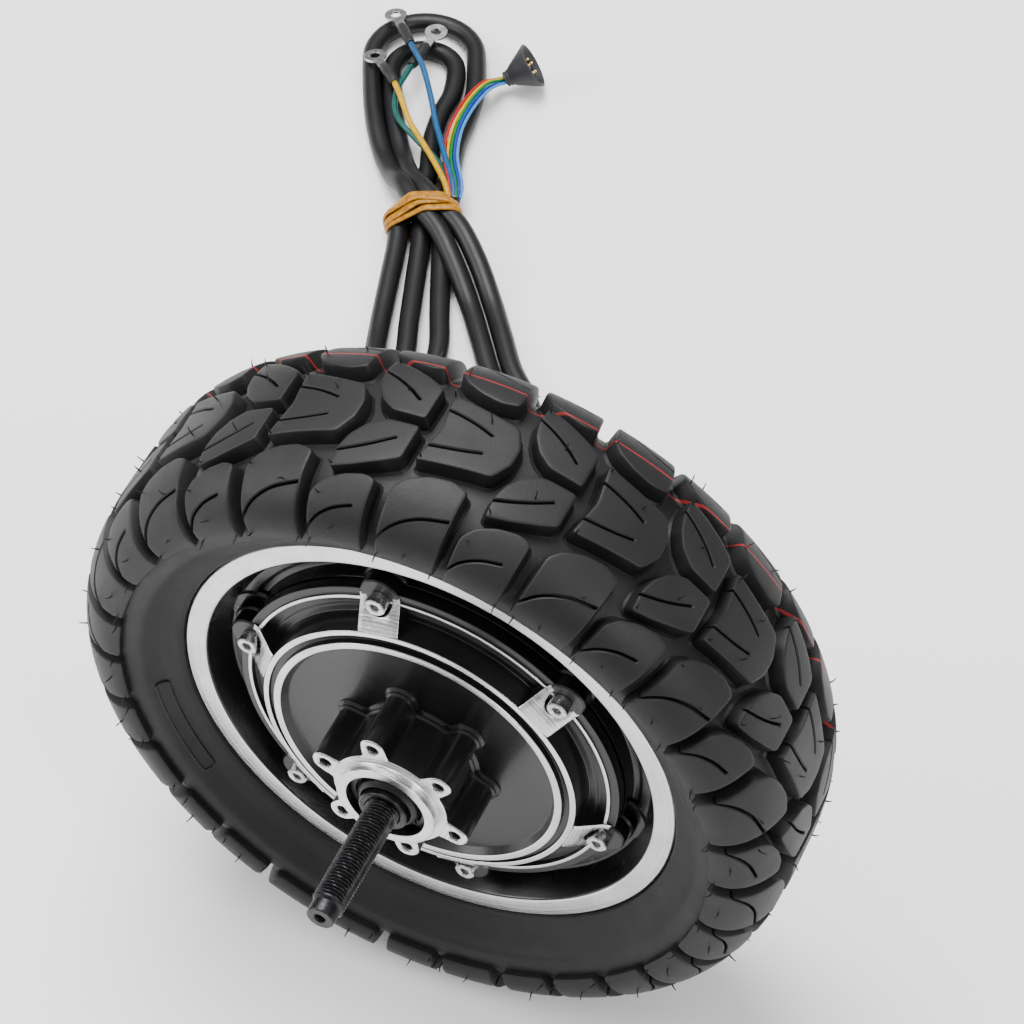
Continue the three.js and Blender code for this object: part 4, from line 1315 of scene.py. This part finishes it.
def add_cover(name, side):
    shells = Shells()
    hub = HUBS[name]

    def finish(radius, y):
        height = abs(y)
        if any(low < radius < high and height > least for low, high, least in BRIGHT_RINGS):
            return 1
        return 1 if radius < 20.2 and height > (50.5 if side < 0 else 47.6) else 0

    profile = [(r, side * y) for r, y in rounded(hub + COVER_SECTION, 0.35, 3)]
    turned(shells, profile, 240, finish)
    for angle in BOLT_ANGLES:
        place = on_side(side, angle)

        def pad_top(plan):
            radius = np.hypot(plan[:, 0], plan[:, 1])
            return np.interp(radius, [56.2, 57.2, 65.2, 67], [30.1, 29.9, 23.6, 22.9])

        slab(shells, [pad_outline()], pad_top, 18.5, place, 0.35, 2, 2, 0)
        ear = circle((66.7, 0), 7, 56)
        hole = circle((SCREW_CIRCLE, 0), 2.3, 24, clockwise=True)
        slab(shells, [ear, hole], level(22.9), 18.3, place, 0.5, 2.5)
    if side < 0:
        outline = divided(lobed_outline(24, 4.6, 20.3, 240), 1)
        holes = [circle((24 * math.cos(a), 24 * math.sin(a)), 2.1, 24, clockwise=True) for a in BOLT_ANGLES]
        bore = circle((0, 0), 17, 96, clockwise=True)
        slab(shells, [outline, bore] + holes, level(51), 37, on_side(side), 0.45, 2.5, 1, 0)
        slab(shells, [outline, bore], level(37.05), 27.5, on_side(side), 0.02, 2.5, 0)
        for angle in BOLT_ANGLES:
            lug = Matrix.Translation((24 * math.cos(angle), 0, 24 * math.sin(angle)))
            # Only the narrow thread crests get the bright machined finish. The flanks and roots take the black
            # cover paint as painted shade, so the holes look dark.
            turned(shells, lug_thread(), 32, lambda radius, y: 1 if radius < 1.9 else 0, lug)
        for grow, height in ((0.7, 31.4), (1.7, 29.9)):
            slab(shells, [inset(outline, -grow), bore], level(height), 27.5, on_side(side), 0.9, 2.5, 0)
    finishes = [COVER_PAINT, MACHINED, MILLED]
    shells.build(name + "_cover_skin", finishes, ROTOR, [name + "_cover"])


def hexagon(reach, clockwise=True):
    turns = np.radians(np.arange(6) * 60)
    return np.stack([reach * np.cos(turns), reach * np.sin(turns)], axis=1)[::-1 if clockwise else 1]


def add_screw(name, side, angle):
    shells = Shells()
    at = np.array([SCREW_CIRCLE * math.cos(angle), SCREW_CIRCLE * math.sin(angle)])
    turns = np.linspace(0, 2 * math.pi, 144, endpoint=False)
    reach = 3.45 + 0.09 * np.cos(36 * turns)
    head = np.stack([at[0] + reach * np.cos(turns), at[1] + reach * np.sin(turns)], axis=1)
    socket = divided(hexagon(1.75), 0.6) + at
    slab(shells, [head, socket], level(27.3), 23.1, on_side(side), 0.3, 1.2)
    place = Matrix.Translation((at[0], 0, at[1]))
    shank = [(0.001, 15.4), (1.7, 15.4), (2, 15.8), (2, 24.6), (0.001, 24.6)]
    turned(shells, [(r, side * y) for r, y in shank], 32, None, place, closed=False)
    shells.build(name + "_skin", [SCREW_STEEL], ROTOR, [name], sharp=28)


add_rim()
add_valve()
for side_name, side_sign in SIDES.items():
    add_cover(side_name, side_sign)
    for number, bolt_angle in enumerate(BOLT_ANGLES, 1):
        add_screw(f"{side_name}_screw_{number}", side_sign, bolt_angle)

# ---------------------------------------------------------------- axle and what shows round it

THREAD_PITCH = 1.25
FLAT = 5


def axle_radius(y):
    """The axle's plain radius at a height along it."""
    outline = [
        (-101.3, 4.5), (-100.9, 4.8), (-96.5, 4.8), (-95.8, 5.9), (-36.4, 6), (-36.3, 7.6), (-34, 7.6),
        (-33.9, 9.5), (-24, 9.5), (-23.9, 11), (26.7, 11), (26.8, 10), (69.5, 10), (70, 9.6), (70.1, 6),
        (95.8, 5.9), (96.5, 4.8), (100.9, 4.8), (101.3, 4.5),
    ]
    return float(np.interp(y, [p[0] for p in outline], [p[1] for p in outline]))


def thread_depth(y, turn):
    share = (y / THREAD_PITCH + turn / (2 * math.pi)) % 1
    return np.interp(share, [0, 0.12, 0.46, 0.6, 1], [0, 0, 1, 1, 0]) * 0.78


def add_axle():
    columns = 144
    turns = np.linspace(0, 2 * math.pi, columns, endpoint=False)
    coarse = [-101.3, -100.9, -96.6, -96.5, -95.8]
    threaded = list(np.arange(-95.6, -52, 0.15))
    middle = [-51.9, -36.5, -36.4, -36.3, -34, -33.9, -24, -23.9, 26.7, 26.8, 69.5, 70, 70.1]
    far_thread = list(np.arange(70.3, 95.7, 0.15))
    heights = coarse + threaded + middle + far_thread + [95.8, 96.5, 96.6, 100.9, 101.3]
    rows = []
    for y in heights:
        radius = np.full(columns, axle_radius(y))
        if 52 < abs(y) < 95.7 and (y < 0 or y > 70.2):
            runout = np.clip((95.7 - abs(y)) / 1.2, 0, 1)
            start = np.clip((abs(y) - (52 if y < 0 else 70.2)) / 1.5, 0, 1)
            radius = radius - thread_depth(y, turns) * runout * start
        if y < -58 or y > 74:
            with np.errstate(divide="ignore"):
                radius = np.minimum(radius, FLAT / np.maximum(np.abs(np.cos(turns)), 1e-6))
        rows.append(np.stack([radius * np.cos(turns), np.full(columns, y), radius * np.sin(turns)], axis=1))
    for end, sign in ((0, 1), (-1, -1)):
        y = heights[end]
        pit = []
        for radius, depth in ((2.2, 0), (1.9, 0.3), (1.2, 3.2), (0.001, 4)):
            pit.append(np.stack(
                [radius * np.cos(turns), np.full(columns, y + sign * depth), radius * np.sin(turns)], axis=1))
        rows = pit[::-1] + rows if end == 0 else rows + pit
    faces = [
        (i * columns + k, i * columns + (k + 1) % columns, (i + 1) * columns + (k + 1) % columns,
         (i + 1) * columns + k)
        for i in range(len(rows) - 1) for k in range(columns)
    ]
    shells = Shells()
    shells.add(np.concatenate(rows), faces)
    shells.build("axle_skin", [BLACK_STEEL], AXLE, ["axle"], sharp=30)


def add_turned_part(name, node, profile, material, body, place=None, rounding=0.2):
    shells = Shells()
    turned(shells, rounded(profile, rounding, 3), 120, None, place)
    return shells.build(name, [material], body, [node])


def add_circlip():
    """A snap ring, open at one side, with two plier eyes."""
    shells = Shells()
    half_gap = math.radians(16)
    middle = math.radians(-52)
    turns = np.linspace(middle + half_gap, middle + 2 * math.pi - half_gap, 90)
    outer = [(13.6 * math.cos(t), 13.6 * math.sin(t)) for t in turns]
    inner = [(11.8 * math.cos(t), 11.8 * math.sin(t)) for t in turns[::-1]]
    slab(shells, [divided(np.array(outer + inner), 1.2)], level(51.5), 50.3, on_side(-1), 0.15, 1.2)
    for sign in (-1, 1):
        angle = middle + sign * (half_gap + 0.05)
        at = (11.9 * math.cos(angle), 11.9 * math.sin(angle))
        end_with_hole = [circle(at, 1.7, 28), circle(at, 0.75, 16, True)]
        slab(shells, end_with_hole, level(51.52), 50.28, on_side(-1), 0.15, 1)
    shells.build("circlip_skin", [BLACK_STEEL], ROTOR, ["disc_side_circlip"])


add_axle()
add_circlip()
add_turned_part(
    "spacer_skin", "axle_spacer", [(6.3, -45), (8.6, -45), (8.6, -56), (8.1, -56.5), (6.3, -56.5)], BLACK_STEEL,
    AXLE)
add_turned_part(
    "disc_seal_skin", "disc_side_seal",
    [(8.9, -45), (13.7, -45), (13.7, -50), (11.1, -50), (11.1, -51.8), (10.6, -52.8), (9.3, -54), (8.9, -53.8)],
    SEAL, ROTOR)
add_turned_part(
    "cable_seal_skin", "cable_side_seal",
    [(10.4, 40.7), (17.2, 40.7), (17.2, 47.2), (16.4, 47.2), (15.8, 46.2), (11.8, 46.2), (11, 47.2),
     (10.4, 46.4)],
    SEAL, ROTOR)

GROMMET = [
    (4.5, -5.5), (4.5, -10), (6.4, -10.2), (7, -11), (6.2, -11.6), (6.9, -12.6), (6.1, -13.2), (6.8, -14.4),
    (6, -15), (6.5, -16.3), (4.45, -16.3), (4.2, -5.5),
]
upright = Matrix.Translation((0, 62, 0)) @ Matrix.Rotation(math.pi / 2, 4, "X")
add_turned_part("grommet_skin", "cable_grommet", GROMMET, SEAL, AXLE, upright, 0.3)

# ---------------------------------------------------------------- parts that stay as the CAD made them

INNER_FINISHES = {
    "rotor_ring": plain_material("plain_steel", (0.2, 0.2, 0.2), (0.4, 0.4, 0.4), 0.4, 1.0),
    "magnet_ring": plain_material("magnet", (0.3, 0.3, 0.31), (0.55, 0.55, 0.56), 0.3, 1.0),
    "stator_carrier": plain_material("bare_aluminium", (0.5, 0.5, 0.5), (0.75, 0.75, 0.75), 0.35, 1.0),
    "stator_core": plain_material("stator_steel", (0.12, 0.12, 0.12), (0.3, 0.3, 0.3), 0.45, 1.0),
    "stator_windings": plain_material("copper", (0.35, 0.12, 0.04), (0.7, 0.3, 0.12), 0.3, 1.0, 500),
    "hall_board": plain_material("circuit_board", (0.01, 0.06, 0.02), (0.02, 0.14, 0.05), 0.4),
    "hall_sensor": plain_material("sensor_plastic", (0.01, 0.01, 0.01), (0.03, 0.03, 0.03), 0.45),
    "inner_wires": plain_material("wire_silicone", (0.01, 0.01, 0.012), (0.03, 0.03, 0.033), 0.5),
    "axle_key": PLATED,
    "disc_side_bearing": plain_material("bearing_steel", (0.45, 0.45, 0.45), (0.72, 0.72, 0.72), 0.2, 1.0, 400),
}
INNER_FINISHES["cable_side_bearing"] = INNER_FINISHES["disc_side_bearing"]

for node_name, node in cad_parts.items():
    for start_of_name, finish_material in INNER_FINISHES.items():
        if node_name.startswith(start_of_name):
            node.data.materials.clear()
            node.data.materials.append(finish_material)
